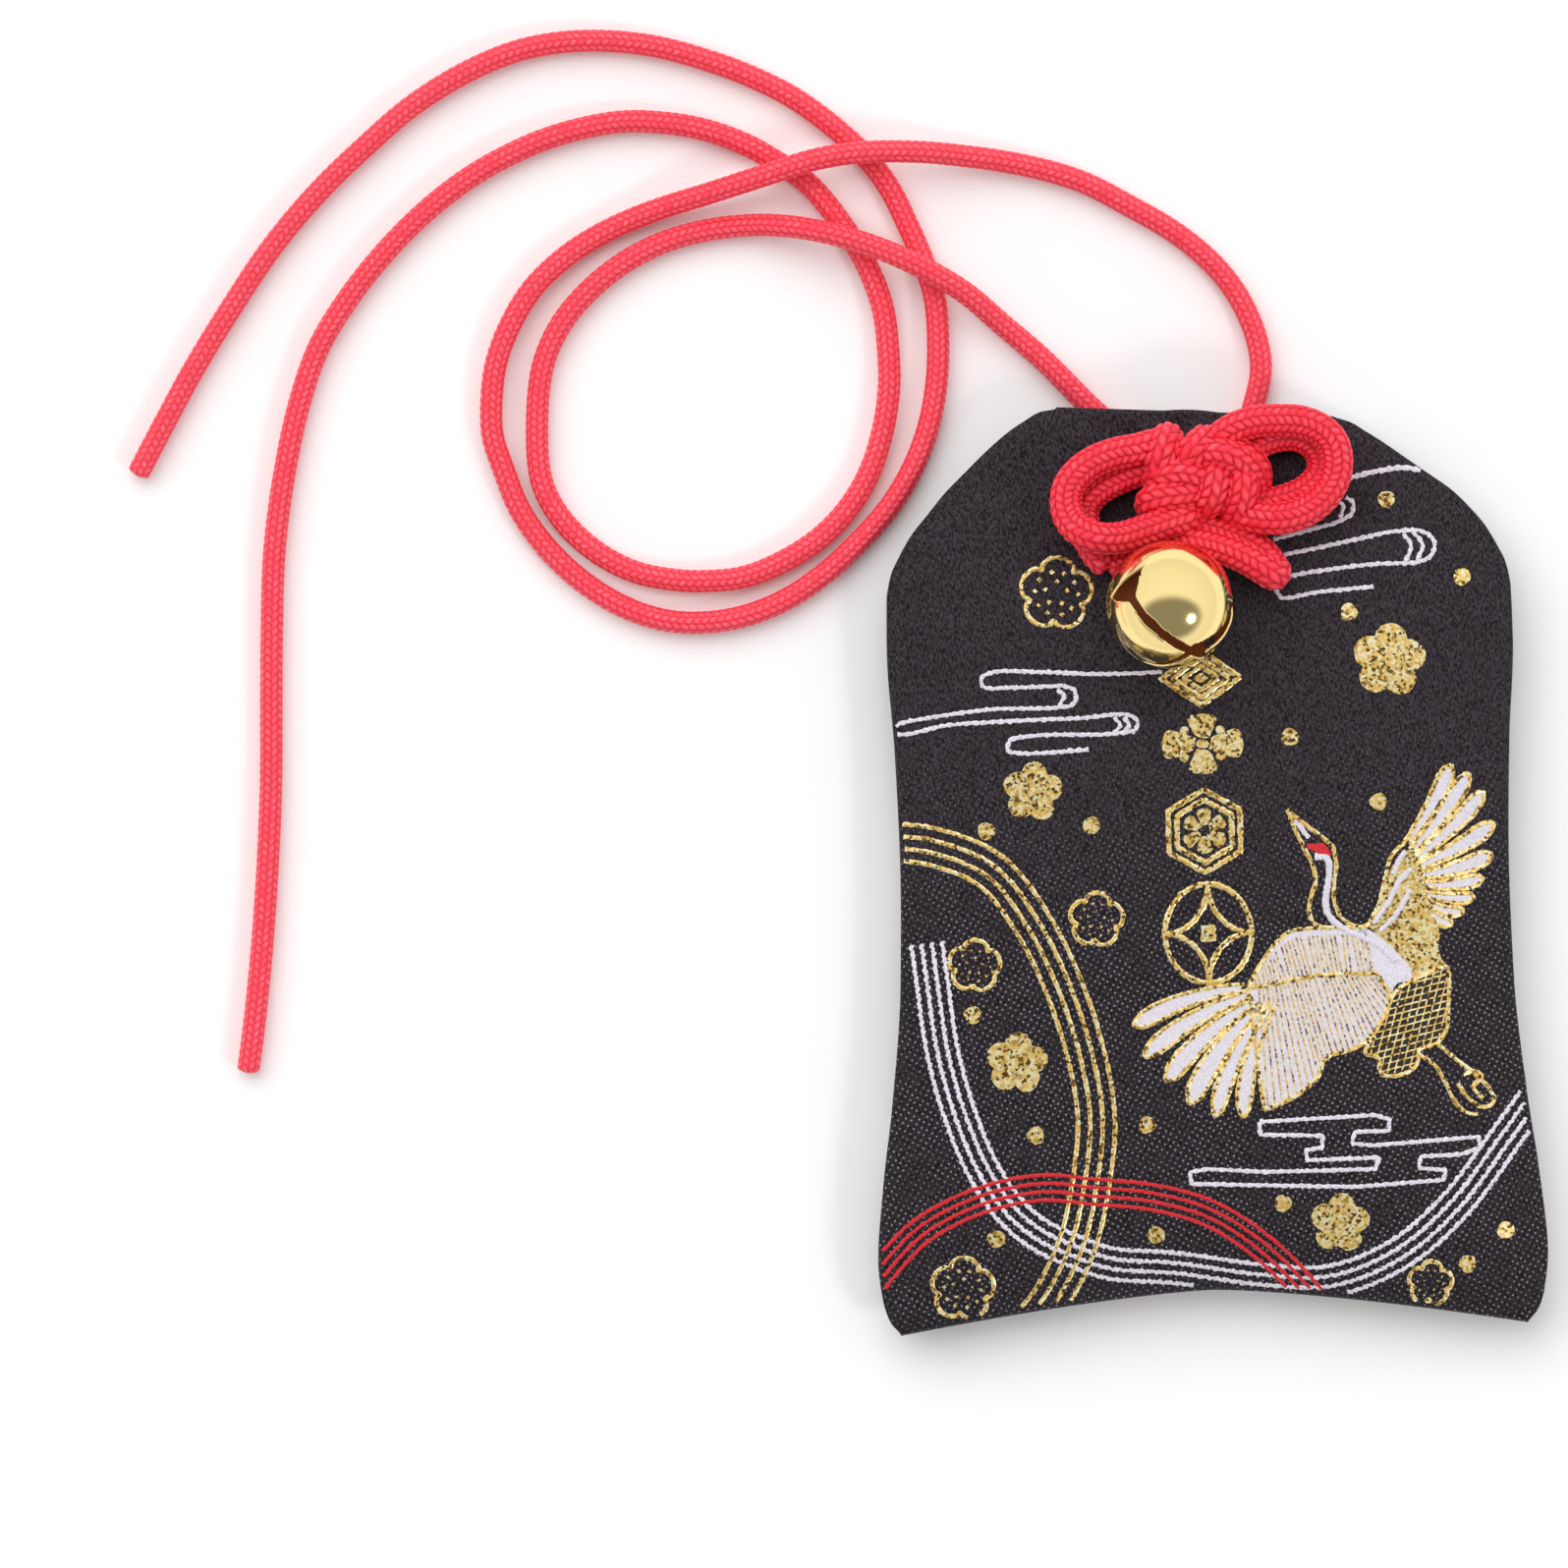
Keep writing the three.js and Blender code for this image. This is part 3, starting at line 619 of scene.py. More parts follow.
@dataclass(frozen=True)
class Braid:
    """A braided cord: grains in columns that lean left and right by turns."""

    diameter: float
    columns: int
    pitch: float
    lean: float = 0.55
    relief: float = 0.17
    rings_each: int = 8
    sides_each: int = 5
    ridge_power: float = 2.4
    height_power: float = 0.7
    dive: float = 0.8
    end_round: float = 0.22
    tone_noise: float = 0.45

    def height(self, column: np.ndarray, run: np.ndarray) -> np.ndarray:
        """Works out how high the braid stands, from 0 in a valley to 1 on a grain.

        Args:
            column: Columns round the cord.
            run: Pitches along the cord.

        Returns:
            The height of each spot.
        """
        number = np.floor(column)
        across = column - number
        side = np.where(number % 2 == 0, 1.0, -1.0)
        climb = run + side * self.lean * (across - 0.5) + 0.5 * (number % 2)
        phase = climb - np.floor(climb)
        ridge = 1 - np.abs(2 * phase - 1) ** self.ridge_power
        dive = 1 - self.dive * np.abs(2 * across - 1) ** 3
        return np.clip(ridge * dive, 0, 1) ** self.height_power

    def build(
        self, name: str, route: Line, widen: Callable[[np.ndarray], np.ndarray] = np.ones_like
    ) -> tuple[bpy.types.Object, np.ndarray]:
        """Builds the cord along a route.

        Args:
            name: The piece's name.
            route: The route's points.
            widen: Scales the radius by the share of the way along.

        Returns:
            The piece and its centreline.
        """
        line = smooth_line(route, self.pitch / self.rings_each)
        sides = self.columns * self.sides_each
        run = np.arange(len(line)) / self.rings_each
        column = np.arange(sides) / self.sides_each
        height = self.height(*np.meshgrid(column, run))
        radius = self.diameter / 2 * (1 - self.relief * (1 - height))
        share = np.linspace(0, 1, len(line))
        edge = np.clip(np.minimum(share, 1 - share) * line_length(line) / (self.end_round * self.diameter), 0, 1)
        scale = widen(share) * np.sqrt(np.clip(1 - (1 - edge) ** 2, 0.04, 1))
        points = tube_points(line, radius * scale[:, None])
        rows, total = len(line), len(line) * sides
        index = np.arange(total).reshape(rows, sides)
        caps = [(total, b, a) for a, b in zip(index[0], np.roll(index[0], -1))]
        caps += [(total + 1, a, b) for a, b in zip(index[-1], np.roll(index[-1], -1))]
        noise = np.random.default_rng(SEED + rows).normal(size=(rows // self.rings_each + 3, self.columns))
        cell = noise[np.floor(run + 1).astype(int)][:, np.floor(column).astype(int)]
        tone = np.clip(0.6 + self.tone_noise * 0.5 * cell, 0, 1)
        # These values drive the cord's painted shade in the valleys and painted highlight on the grain tops
        values = {"grain": np.append(height.ravel(), [0.6, 0.6]), "tone": np.append(tone.ravel(), [0.5, 0.5])}
        vertices = np.vstack([points, line[0], line[-1]])
        return make_mesh(name, vertices, [*grid_faces(index, closed=True), *caps], values), line


# Photograph and stage
@dataclass(frozen=True)
class PhotoFrame:
    """How the photograph looks down on the charm: its place, its turn and its scale."""

    pixels: int = 1596
    width: float = 0.14364
    distance: float = 0.9
    mid_height: float = 0.0045
    centre: tuple[float, float] = (-0.03834, 0.00849)
    roll: float = math.radians(1.25)
    sensor: float = 36.0

    def point(self, across: float, down: float, height: float) -> tuple[float, float]:
        """Finds what a pixel shows at a height above the paper.

        Args:
            across: The pixel's column.
            down: The pixel's row.
            height: The height, in metres.

        Returns:
            The place on the charm, in metres.
        """
        nearness = (self.distance - (height - self.mid_height)) / self.distance
        scale = self.width / self.pixels * nearness
        right = (across - self.pixels / 2) * scale
        up = (self.pixels / 2 - down) * scale
        turn_cos, turn_sin = math.cos(self.roll), math.sin(self.roll)
        x, y = self.centre
        return x + right * turn_cos + up * turn_sin, y - right * turn_sin + up * turn_cos

    def make_camera(self) -> None:
        """Puts the camera straight above, as the photograph's was."""
        camera = bpy.data.cameras.new("camera")
        camera.sensor_width = self.sensor
        camera.lens = self.sensor * self.distance / self.width
        camera.clip_start, camera.clip_end = self.distance / 100, self.distance * 10
        holder = put("camera", camera)
        holder.location = (*self.centre, self.distance + self.mid_height)
        holder.rotation_euler = (0, 0, -self.roll)
        bpy.context.scene.camera = holder


@dataclass(frozen=True)
class Lamp:
    """A soft round light."""

    name: str
    place: Point
    target: Point
    size: float
    power: float
    mirrored: bool = True


@dataclass(frozen=True)
class Stage:
    """White paper, an even sky that darkens towards the horizon, and soft lights."""

    floor_size: float = 3.0
    floor_colour: Colour = (0.93, 0.93, 0.93)
    sky_colour: Colour = (1.0, 1.0, 1.0)
    sky_level: float = 1.02
    horizon_share: float = 0.88
    bright_above: float = 0.75
    dark_from: Point = (0.0, -0.46, 0.89)
    dark_stretch: Point = (0.6, 1.0, 1.0)
    dark_inner: float = math.radians(30)
    dark_outer: float = math.radians(47)
    dark_share: float = 0.27
    lamps: Sequence[Lamp] = (
        Lamp("key", (-0.45, 0.70, 1.1), (-0.04, 0, 0), 1.7, 11.5, mirrored=False),
        Lamp("spot", (0.68, -0.50, 0.86), (-0.04, 0, 0), 0.26, 2.6),
    )

    def build(self) -> None:
        """Builds the paper, the sky and the lights."""
        select_only()
        bpy.ops.mesh.primitive_plane_add(size=self.floor_size, location=(0, 0, 0))
        floor = bpy.context.object
        floor.name = "paper_floor"
        shader = Shader("paper")
        shader.give(Base_Color=self.floor_colour, Roughness=0.9, Specular_IOR_Level=0.0)
        floor.data.materials.append(shader.material)
        self.build_sky()
        for lamp in self.lamps:
            light = bpy.data.lights.new(lamp.name, "AREA")
            light.shape = "DISK"
            light.size = lamp.size
            light.energy = lamp.power
            holder = put(lamp.name, light)
            holder.visible_glossy = lamp.mirrored
            holder.location = lamp.place
            facing = Vector(lamp.target) - Vector(lamp.place)
            holder.rotation_euler = facing.to_track_quat("-Z", "Y").to_euler()
        bpy.context.scene.view_settings.view_transform = "Standard"

    def build_sky(self) -> None:
        """Sets the sky: bright overhead, darker at the horizon and where the photographer stood."""
        world = bpy.data.worlds.new("sky")
        bpy.context.scene.world = world
        tree = Tree(world)
        where = tree.node("TexCoord").outputs["Generated"]
        height = tree.node("SeparateXYZ", where).outputs["Z"]
        low = self.sky_level * self.horizon_share
        level = tree.remap(height, 0.0, self.bright_above, low, self.sky_level, kind="LINEAR")
        stretched = tree.node("VectorMath", where, self.dark_stretch, operation="MULTIPLY").outputs["Vector"]
        unit = tree.node("VectorMath", stretched, operation="NORMALIZE").outputs["Vector"]
        middle = Vector(self.dark_from).normalized()
        nearness = tree.node("VectorMath", unit, middle, operation="DOT_PRODUCT").outputs["Value"]
        limits = (math.cos(self.dark_outer), math.cos(self.dark_inner))
        strength = tree.times(level, tree.remap(nearness, *limits, 1.0, self.dark_share))
        background = tree.node("Background", self.sky_colour, strength)
        tree.node("OutputWorld", background.outputs[0])


# Pouch
class Edge(Enum):
    """How the pouch's rim is made."""

    SEAM = "seam"
    FOLD = "fold"
    MOUTH = "mouth"


# Half of each kind of rim: share of the way from the front skin to the back one, then how far it stands out
RIM_HALVES: dict[Edge, Table] = {
    Edge.SEAM: ((0.1, 0.00006), (0.26, 0.00002), (0.4, -0.00045), (0.5, -0.0009)),
    Edge.FOLD: ((0.1, 0.00012), (0.26, 0.00022), (0.4, 0.00028), (0.5, 0.0003)),
    Edge.MOUTH: ((0.12, 0.00018), (0.36, 0.00012), (0.45, -0.002), (0.5, -0.005)),
}
RIM_PROFILES = {
    edge: np.array([*half, *((1 - share, stand) for share, stand in half[-2::-1])]) for edge, half in RIM_HALVES.items()
}


def even_table(table: Table, at: np.ndarray) -> np.ndarray:
    """Reads a table along a smooth line that doesn't overshoot its points.

    Args:
        table: Pairs of place and value.
        at: The places to read.

    Returns:
        The value at each place.
    """
    x, y = np.asarray(table, float).T
    step, slope = np.diff(x), np.diff(y) / np.diff(x)
    same = slope[1:] * slope[:-1] > 0
    middle = np.where(same, 2 * slope[1:] * slope[:-1] / np.where(same, slope[1:] + slope[:-1], 1.0), 0.0)
    tangent = np.concatenate([[slope[0]], middle, [slope[-1]]])
    at = np.clip(np.asarray(at, float), x[0], x[-1])
    cell = np.clip(np.searchsorted(x, at) - 1, 0, len(step) - 1)
    t = (at - x[cell]) / step[cell]
    left = (1 + 2 * t) * (1 - t) ** 2 * y[cell] + t * (1 - t) ** 2 * step[cell] * tangent[cell]
    right = t**2 * (3 - 2 * t) * y[cell + 1] + t**2 * (t - 1) * step[cell] * tangent[cell + 1]
    return left + right


def ease(value: np.ndarray, low: float, high: float) -> np.ndarray:
    """Rises smoothly from 0 to 1."""
    t = np.clip((np.asarray(value, float) - low) / (high - low), 0, 1)
    return t * t * (3 - 2 * t)


@dataclass(frozen=True)
class Pouch:
    """The padded pouch: its outline, its two skins, its seams, its mouth and its cord hole."""

    length: float = 0.084
    hem_width: float = 0.0612
    waist_width: float = 0.0556
    shoulder_width: float = 0.0572
    mouth_width: float = 0.0282
    hem_arch: float = 0.0036
    front_crown: float = 0.0045
    back_crown: float = 0.005
    rest_flat: float = 0.0005
    seam_half: float = 0.00075
    neck_rise: float = 0.0003
    neck_reach: tuple[float, float] = (0.8, 1.0)
    crown_powers: tuple[float, float, float] = (2.6, 0.68, 0.3)
    arch_power: float = 1.4
    arch_reach: tuple[float, float] = (0.0, 0.3)
    hole: tuple[float, float] = (-0.0004, 0.036)
    hole_radius: float = 0.003
    pucker: float = 0.00016
    pucker_pitch: float = 0.0042
    pucker_reach: float = 0.075
    pucker_fade: tuple[float, float] = (0.84, 0.9)
    wander: tuple[float, float, float] = (1.7, 260, 1.3)
    swell: float = 0.35
    swell_waves: tuple[Point, Point] = ((190, 75), (-60, 120, 0.7))
    swell_start: tuple[float, float] = (0.02, 0.2)
    gather: float = 0.00028
    gather_count: int = 9
    gather_place: float = 0.004
    gather_reach: float = 0.0065
    gather_wander: float = 1.1
    gather_fade: tuple[float, float] = (0.97, 1.0)
    hole_cut: float = 0.0011
    hole_core: float = 0.0012
    hole_blend: float = 0.0065
    stitch_pitch: float = 0.0016
    stitch_setback: float = 0.0005
    stitch_swing: float = 0.00028
    stitch_reach: tuple[float, float] = (-0.036, 0.024)
    thread_radius: float = 0.0002
    fill: float = 0.55
    rows: int = 236
    columns: int = 150
    row_crowding: float = 0.25
    ground: BrocadeGround = BrocadeGround()
    thread: Sewing = Sewing()
    hem_shares: Table = ((0, 0.94), (0.012, 0.968), (0.035, 0.988), (0.075, 1), (0.16, 0.98), (0.25, 0.947))
    waist_shares: Table = ((0.375, 1.008), (0.5, 1), (0.632, 1.01))
    shoulder_shares: Table = (
        (0.74, 1), (0.798, 0.997), (0.825, 0.983), (0.846, 0.954), (0.868, 0.916), (0.889, 0.865), (0.911, 0.808),
        (0.932, 0.74), (0.954, 0.668), (0.975, 0.593),
    )
    mouth_shares: Table = ((0.989, 1.078), (0.9935, 1.037), (0.9972, 0.99), (0.9992, 0.945), (1, 0.9))
    mouth_drop: float = 0.00045
    mouth_slope: float = 0.055
    mouth_reach: tuple[float, float] = (0.88, 1.0)
    depth_shares: Table = (
        (0, 0.17), (0.012, 0.38), (0.03, 0.56), (0.06, 0.74), (0.1, 0.87), (0.16, 0.95), (0.3, 1), (0.58, 0.99),
        (0.7, 0.9), (0.787, 0.755), (0.85, 0.56), (0.9, 0.44), (0.93, 0.39), (1, 0.32),
    )

    def share(self, y: np.ndarray) -> np.ndarray:
        """Gives the share of the way from the hem to the mouth."""
        return np.asarray(y, float) / self.length + 0.5

    def half_width(self, y: np.ndarray) -> np.ndarray:
        """Gives half the pouch's width.

        Args:
            y: Places along the pouch.

        Returns:
            The half widths there.
        """
        table = [
            (place, part * width)
            for shares, width in (
                (self.hem_shares, self.hem_width), (self.waist_shares, self.waist_width),
                (self.shoulder_shares, self.shoulder_width), (self.mouth_shares, self.mouth_width),
            )
            for place, part in shares
        ]
        return even_table(table, self.share(y)) / 2

    def middle(self, y: np.ndarray) -> np.ndarray:
        """Gives the height of the sheet that lies halfway between the skins."""
        return self.back_crown - self.rest_flat + self.neck_rise * ease(self.share(y), *self.neck_reach)

    def relief(self, u: np.ndarray, y: np.ndarray) -> np.ndarray:
        """Gives the small folds: puckers along the seams and gathers round the cord hole.

        Args:
            u: Shares of the half width.
            y: Places along the pouch.

        Returns:
            How far the skin stands in or out.
        """
        edge = np.exp(-(1 - np.abs(u)) / self.pucker_reach) * (1 - ease(self.share(y), *self.pucker_fade))
        swing, pace, shift = self.wander
        wander = np.sin(2 * math.pi * y / self.pucker_pitch + swing * np.sin(pace * y) + shift * np.sign(u))
        x = u * self.half_width(y)
        dx, dy = x - self.hole[0], y - self.hole[1]
        reach = np.hypot(dx, dy)
        turn = np.arctan2(dy, dx)
        ring = np.exp(-(((reach - self.gather_place) / self.gather_reach) ** 2))
        gathers = ring * np.cos(self.gather_count * turn + self.gather_wander * np.sin(2 * turn))
        gathers = gathers * (1 - ease(self.share(y), *self.gather_fade))
        one, other = self.swell_waves
        slow = self.swell * np.sin(one[0] * x + one[1] * y) * np.sin(other[0] * x + other[1] * y + other[2])
        slow = slow * (1 - np.abs(u) ** 4) * ease(self.share(y), *self.swell_start)
        return self.pucker * (edge * wander + slow) + self.gather * gathers

    def skin(self, x: np.ndarray, y: np.ndarray, size: float) -> np.ndarray:
        """Gives how far a skin stands from the middle sheet.

        Args:
            x: Places across the pouch.
            y: Places along it, before the hem's arch.
            size: The skin's crown.

        Returns:
            The distances.
        """
        u = np.clip(np.asarray(x, float) / self.half_width(y), -1, 1)
        fullness, roundness, fold = self.crown_powers
        crown = np.clip(1 - np.abs(u) ** fullness, 0, 1) ** roundness
        rise = size * even_table(self.depth_shares, self.share(y)) - self.seam_half
        return self.seam_half + np.maximum(rise, 0) * crown + self.relief(u, y) * crown**fold

    def front(self, x: np.ndarray, y: np.ndarray) -> np.ndarray:
        """Gives the front skin's height."""
        return self.middle(y) + self.skin(x, y, self.front_crown)

    def back(self, x: np.ndarray, y: np.ndarray) -> np.ndarray:
        """Gives the back skin's height, flat where the pouch lies on the paper."""
        return np.maximum(self.middle(y) - self.skin(x, y, self.back_crown), 0.0)

    def lift(self, u: np.ndarray, y: np.ndarray) -> np.ndarray:
        """Gives how far the hem's arch moves a place towards the mouth."""
        return self.hem_arch * (1 - np.abs(u) ** self.arch_power) * (1 - ease(self.share(y), *self.arch_reach))

    def unlifted(self, x: np.ndarray, y: np.ndarray) -> np.ndarray:
        """Finds where a place lay before the hem's arch moved it.

        Args:
            x: Places across the pouch.
            y: Places along it.

        Returns:
            The places along it before the arch.
        """
        source = np.asarray(y, float)
        for _ in range(6):
            u = np.clip(x / self.half_width(source), -1, 1)
            source = y - self.lift(u, source)
        return source

    def inside(self, x: np.ndarray, y: np.ndarray, margin: float) -> np.ndarray:
        """Tells which places lie on the pouch, a margin within its outline.

        Args:
            x: Places across the pouch.
            y: Places along it.
            margin: The margin.

        Returns:
            True for each place that does.
        """
        source = self.unlifted(x, y)
        half = self.length / 2 - margin
        return (np.abs(x) < self.half_width(source) - margin) & (np.abs(source) < half)

    def build(self) -> None:
        """Builds the pouch and the thread of its side seams."""
        u = np.sin(np.linspace(-1, 1, self.columns) * math.pi / 2)
        run = np.linspace(-1, 1, self.rows)
        crowding = self.row_crowding
        y = self.length / 2 * ((1 - crowding) * run + crowding * np.sin(run * math.pi / 2))
        across, along = np.meshgrid(u, y)
        x = across * self.half_width(along)
        slant = self.mouth_drop + self.mouth_slope * x
        lifted = along + self.lift(across, along) - slant * ease(self.share(along), *self.mouth_reach)
        fronts = np.stack([x, lifted, self.front(x, along)], axis=-1)
        backs = np.stack([x, lifted, self.back(x, along)], axis=-1)
        index = np.arange(self.rows * self.columns).reshape(self.rows, self.columns)
        offset = index.size
        reach = np.hypot(x - self.hole[0], along - self.hole[1])
        for points in (fronts, backs):
            self.open_hole(points, reach)
        quads = grid_faces(index)
        open_ones = (reach.ravel()[quads] < self.hole_cut).any(axis=1)
        kept = quads[~open_ones]
        gone = {(a, b) for face in quads[open_ones] for a, b in zip(face, np.roll(face, -1))}
        around = {(a, b) for face in kept for a, b in zip(face, np.roll(face, -1)) if (b, a) in gone}
        faces = [*kept, *(kept[:, ::-1] + offset), *((b, a, a + offset, b + offset) for a, b in around)]
        rim_points, rim_faces = self.rim_strip(fronts, backs, index)
        faces += rim_faces
        points = np.vstack([fronts.reshape(-1, 3), backs.reshape(-1, 3), rim_points])
        used = np.unique(np.concatenate([np.ravel(face) for face in faces]))
        renumber = np.full(len(points), -1)
        renumber[used] = np.arange(len(used))
        piece = make_mesh("brocade_pouch_cloth", points[used], [renumber[list(face)] for face in faces])
        select_only(piece)
        switch("EDIT")
        bpy.ops.mesh.select_all(action="SELECT")
        bpy.ops.mesh.normals_make_consistent(inside=False)
        switch("OBJECT")
        self.ground.dress(piece, "charm", "brocade_pouch")
        for side in (-1, 1):
            self.build_stitches(side)

    def open_hole(self, points: np.ndarray, reach: np.ndarray) -> None:
        """Pushes a skin's points outwards, so that the cord hole opens in it.

        Args:
            points: The skin's points.
            reach: Each point's distance from the hole's centre.
        """
        widening = (self.hole_blend - self.hole_radius) / (self.hole_blend - self.hole_core)
        moved = self.hole_radius + np.maximum(reach - self.hole_core, 0) * widening
        scale = np.where(reach < self.hole_blend, moved / np.maximum(reach, 1e-9), 1.0)
        for axis in (0, 1):
            points[..., axis] = self.hole[axis] + (points[..., axis] - self.hole[axis]) * scale

    def rim_strip(
        self, fronts: np.ndarray, backs: np.ndarray, index: np.ndarray
    ) -> tuple[np.ndarray, list[tuple[int, ...]]]:
        """Builds the strip that joins the skins all round.

        Args:
            fronts: The front skin's points.
            backs: The back skin's points.
            index: The front skin's point numbers.

        Returns:
            The strip's points and faces.
        """
        top, right = index.shape[0] - 1, index.shape[1] - 1
        rim = [(0, j, Edge.FOLD) for j in range(right)] + [(i, right, Edge.SEAM) for i in range(top)]
        rim += [(top, j, Edge.MOUTH) for j in range(right, 0, -1)] + [(i, 0, Edge.SEAM) for i in range(top, 0, -1)]
        outward = {Edge.FOLD: np.array([0, -1, 0]), Edge.MOUTH: np.array([0, 1, 0])}
        profiles = np.array([RIM_PROFILES[edge] for _, _, edge in rim])
        downs, stands = profiles[..., 0], profiles[..., 1]
        for _ in range(3):
            stands = (np.roll(stands, 1, axis=0) + stands + np.roll(stands, -1, axis=0)) / 3
        count = stands.shape[1]
        points, rows = [], []
        for k, (i, j, edge) in enumerate(rim):
            high, low = fronts[i, j], backs[i, j]
            facing = outward.get(edge, np.array([np.sign(high[0]), 0, 0]))
            points += [high + (low - high) * down + facing * stand for down, stand in zip(downs[k], stands[k])]
            first = 2 * index.size + k * count
            rows.append([index[i, j], *range(first, first + count), index[i, j] + index.size])
        faces = [
            (there[n], here[n], here[n + 1], there[n + 1])
            for here, there in zip(rows, rows[1:] + rows[:1])
            for n in range(count + 1)
        ]
        return np.array(points), faces

    def build_stitches(self, side: int) -> None:
        """Sews one side seam: a thread that zigzags in the groove between the two folded edges.

        Args:
            side: -1 for the left seam, 1 for the right.
        """
        name = f"side_seam_{'left' if side < 0 else 'right'}"
        route = [
            (side * (float(self.half_width(y)) - self.stitch_setback), y, float(self.middle(y)) + swing)
            for y, swing in zip(
                np.arange(*self.stitch_reach, self.stitch_pitch / 2), cycle((self.stitch_swing, -self.stitch_swing))
            )
        ]
        line = smooth_line(route, self.stitch_pitch / 6)
        self.thread.dress(thin_tube(f"{name}_stitches", line, self.thread_radius), "charm", name)




# Woven figures
def toward(degrees: float | np.ndarray) -> np.ndarray:
    """Gives the flat direction at an angle, or a row of them for several."""
    return np.stack([np.cos(np.radians(degrees)), np.sin(np.radians(degrees))], axis=-1)


def stretches_of(mask: np.ndarray, least: int) -> list[slice]:
    """Finds a mask's unbroken stretches of more than so many places."""
    cuts = np.flatnonzero(np.diff(np.concatenate([[0], mask.astype(int), [0]])))
    return [slice(first, last) for first, last in zip(cuts[::2], cuts[1::2]) if last - first > least]


def across_line(path: np.ndarray) -> np.ndarray:
    """Gives the direction to the right of a flat line at each of its points.

    Args:
        path: The line.

    Returns:
        The directions, one row each.
    """
    along = np.gradient(path, axis=0)
    along /= np.maximum(np.linalg.norm(along, axis=1), 1e-12)[:, None]
    return np.column_stack([along[:, 1], -along[:, 0]])


class Skin(Enum):
    """Which side of the pouch a figure is woven into."""

    FRONT = 1
    BACK = -1


@dataclass
class Weaving:
    """Threads and filled shapes of one finish, laid on one skin of the pouch and joined into one piece."""

    name: str
    pouch: Pouch
    finish: Finish
    skin: Skin = Skin.FRONT
    lift: float = 0.00006
    grain: float = 0.0002
    ragged: float = 0.12
    margin: float = 0.00025
    ripple: float = 0.0
    ripple_length: float = 0.00078
    pick_length: float = 0.0005
    edge_step: float = 0.00035
    fill_lift: float = 0.7
    points: list[np.ndarray] = field(default_factory=list)
    faces: list[tuple[int, ...]] = field(default_factory=list)

    def __post_init__(self) -> None:
        """Starts the chances that make the edges ragged."""
        self.chance = np.random.default_rng(SEED + len(self.name))

    def height(self, flat: np.ndarray, lift: float) -> np.ndarray:
        """Lays flat places on the skin.

        Args:
            flat: Places, one row each.
            lift: How far they stand off the skin.

        Returns:
            The places with their heights.
        """
        x, y = flat.T
        source = self.pouch.unlifted(x, y)
        surface = self.pouch.front if self.skin is Skin.FRONT else self.pouch.back
        return np.column_stack([x, y, surface(x, source) + self.skin.value * lift])

    def add(self, points: np.ndarray, faces: Iterable[Sequence[int]]) -> None:
        """Adds a shape.

        Args:
            points: Its vertices.
            faces: Its faces, counted from its own first vertex.
        """
        first = sum(map(len, self.points))
        self.points.append(points)
        self.faces += [tuple(first + n for n in face[:: self.skin.value]) for face in faces]

    def line(self, spots: np.ndarray, width: float, smooth: bool = True, step: float = 0.0) -> None:
        """Lays a thread along a line, where the line is on the pouch.

        Args:
            spots: The line's points, in metres.
            width: The thread's width.
            smooth: Whether the line curves through its points or runs straight between them.
            step: How far the thread jumps sideways at each pick of the weave.
        """
        spots = np.asarray(spots, float)
        path = smooth_line(spots, self.grain) if smooth else straight_line(spots, self.grain)
        for stretch in stretches_of(self.pouch.inside(*path.T, self.margin), 2):
            self.strip(path[stretch], width, step)

    def strip(self, path: np.ndarray, width: float, step: float) -> None:
        """Builds one unbroken thread.

        Args:
            path: Its centreline.
            width: Its width.
            step: How far it jumps sideways at each pick.
        """
        across = across_line(path)
        rows = len(path)
        pick = np.arange(rows) * self.grain / self.pick_length
        sway = step * (pick - np.floor(pick) - 0.5) + self.ragged * 0.5 * width * self.chance.uniform(-1, 1, rows)
        breadth = width / 2 * (1 + self.ragged * self.chance.normal(size=rows).clip(-1.5, 1.5))
        breadth *= 1 + self.ripple * np.sin(2 * math.pi * np.arange(rows) * self.grain / self.ripple_length)
        sides = np.array([1.0, 0.55, 0.0, -0.55, -1.0])
        rises = np.array([-0.6, 0.75, 1.0, 0.75, -0.6]) * self.lift
        flat = path[:, None] - across[:, None] * (sides[None, :, None] * breadth[:, None, None])
        flat = flat + across[:, None] * sway[:, None, None]
        placed = self.height(flat.reshape(-1, 2), 0.0).reshape(rows, len(sides), 3)
        placed[..., 2] += rises * self.skin.value
        index = np.arange(rows * len(sides)).reshape(rows, len(sides))
        self.add(placed.reshape(-1, 3), grid_faces(index)[:, ::-1])

    def patch(self, outline: np.ndarray, pitch: float = 0.0007, rough: float = 0.00006) -> None:
        """Fills a shape.

        Args:
            outline: The shape's points, in metres.
            pitch: The distance between the points inside it.
            rough: How uneven its edge is.
        """
        edge = straight_line(np.vstack([outline, outline[:1]]), self.edge_step)[:-1]
        edge = edge + self.chance.uniform(-rough, rough, edge.shape)
        edge = edge[self.pouch.inside(*edge.T, self.margin)]
        if len(edge) < 3:
            return
        low, high = edge.min(0), edge.max(0)
        grid = np.stack(np.meshgrid(*(np.arange(a, b, pitch) for a, b in zip(low, high))), axis=-1).reshape(-1, 2)
        count = len(edge)
        ring = [(n, (n + 1) % count) for n in range(count)]
        spots = [Vector(spot) for spot in np.vstack([edge, grid])]
        flat, _, triangles, *_ = delaunay_2d_cdt(spots, ring, [list(range(count))], 1, 1e-7)
        flat = np.array([tuple(spot) for spot in flat])
        corners = [tuple(triangle) for triangle in triangles]
        corners = [c if turn_of(flat[list(c)]) > 0 else c[::-1] for c in corners]
        self.add(self.height(flat, self.fill_lift * self.lift), corners)

    def dress(self) -> None:
        """Joins all that was added into one piece and finishes it."""
        if self.points:
            self.finish.dress(make_mesh(self.name, np.vstack(self.points), self.faces), "charm")


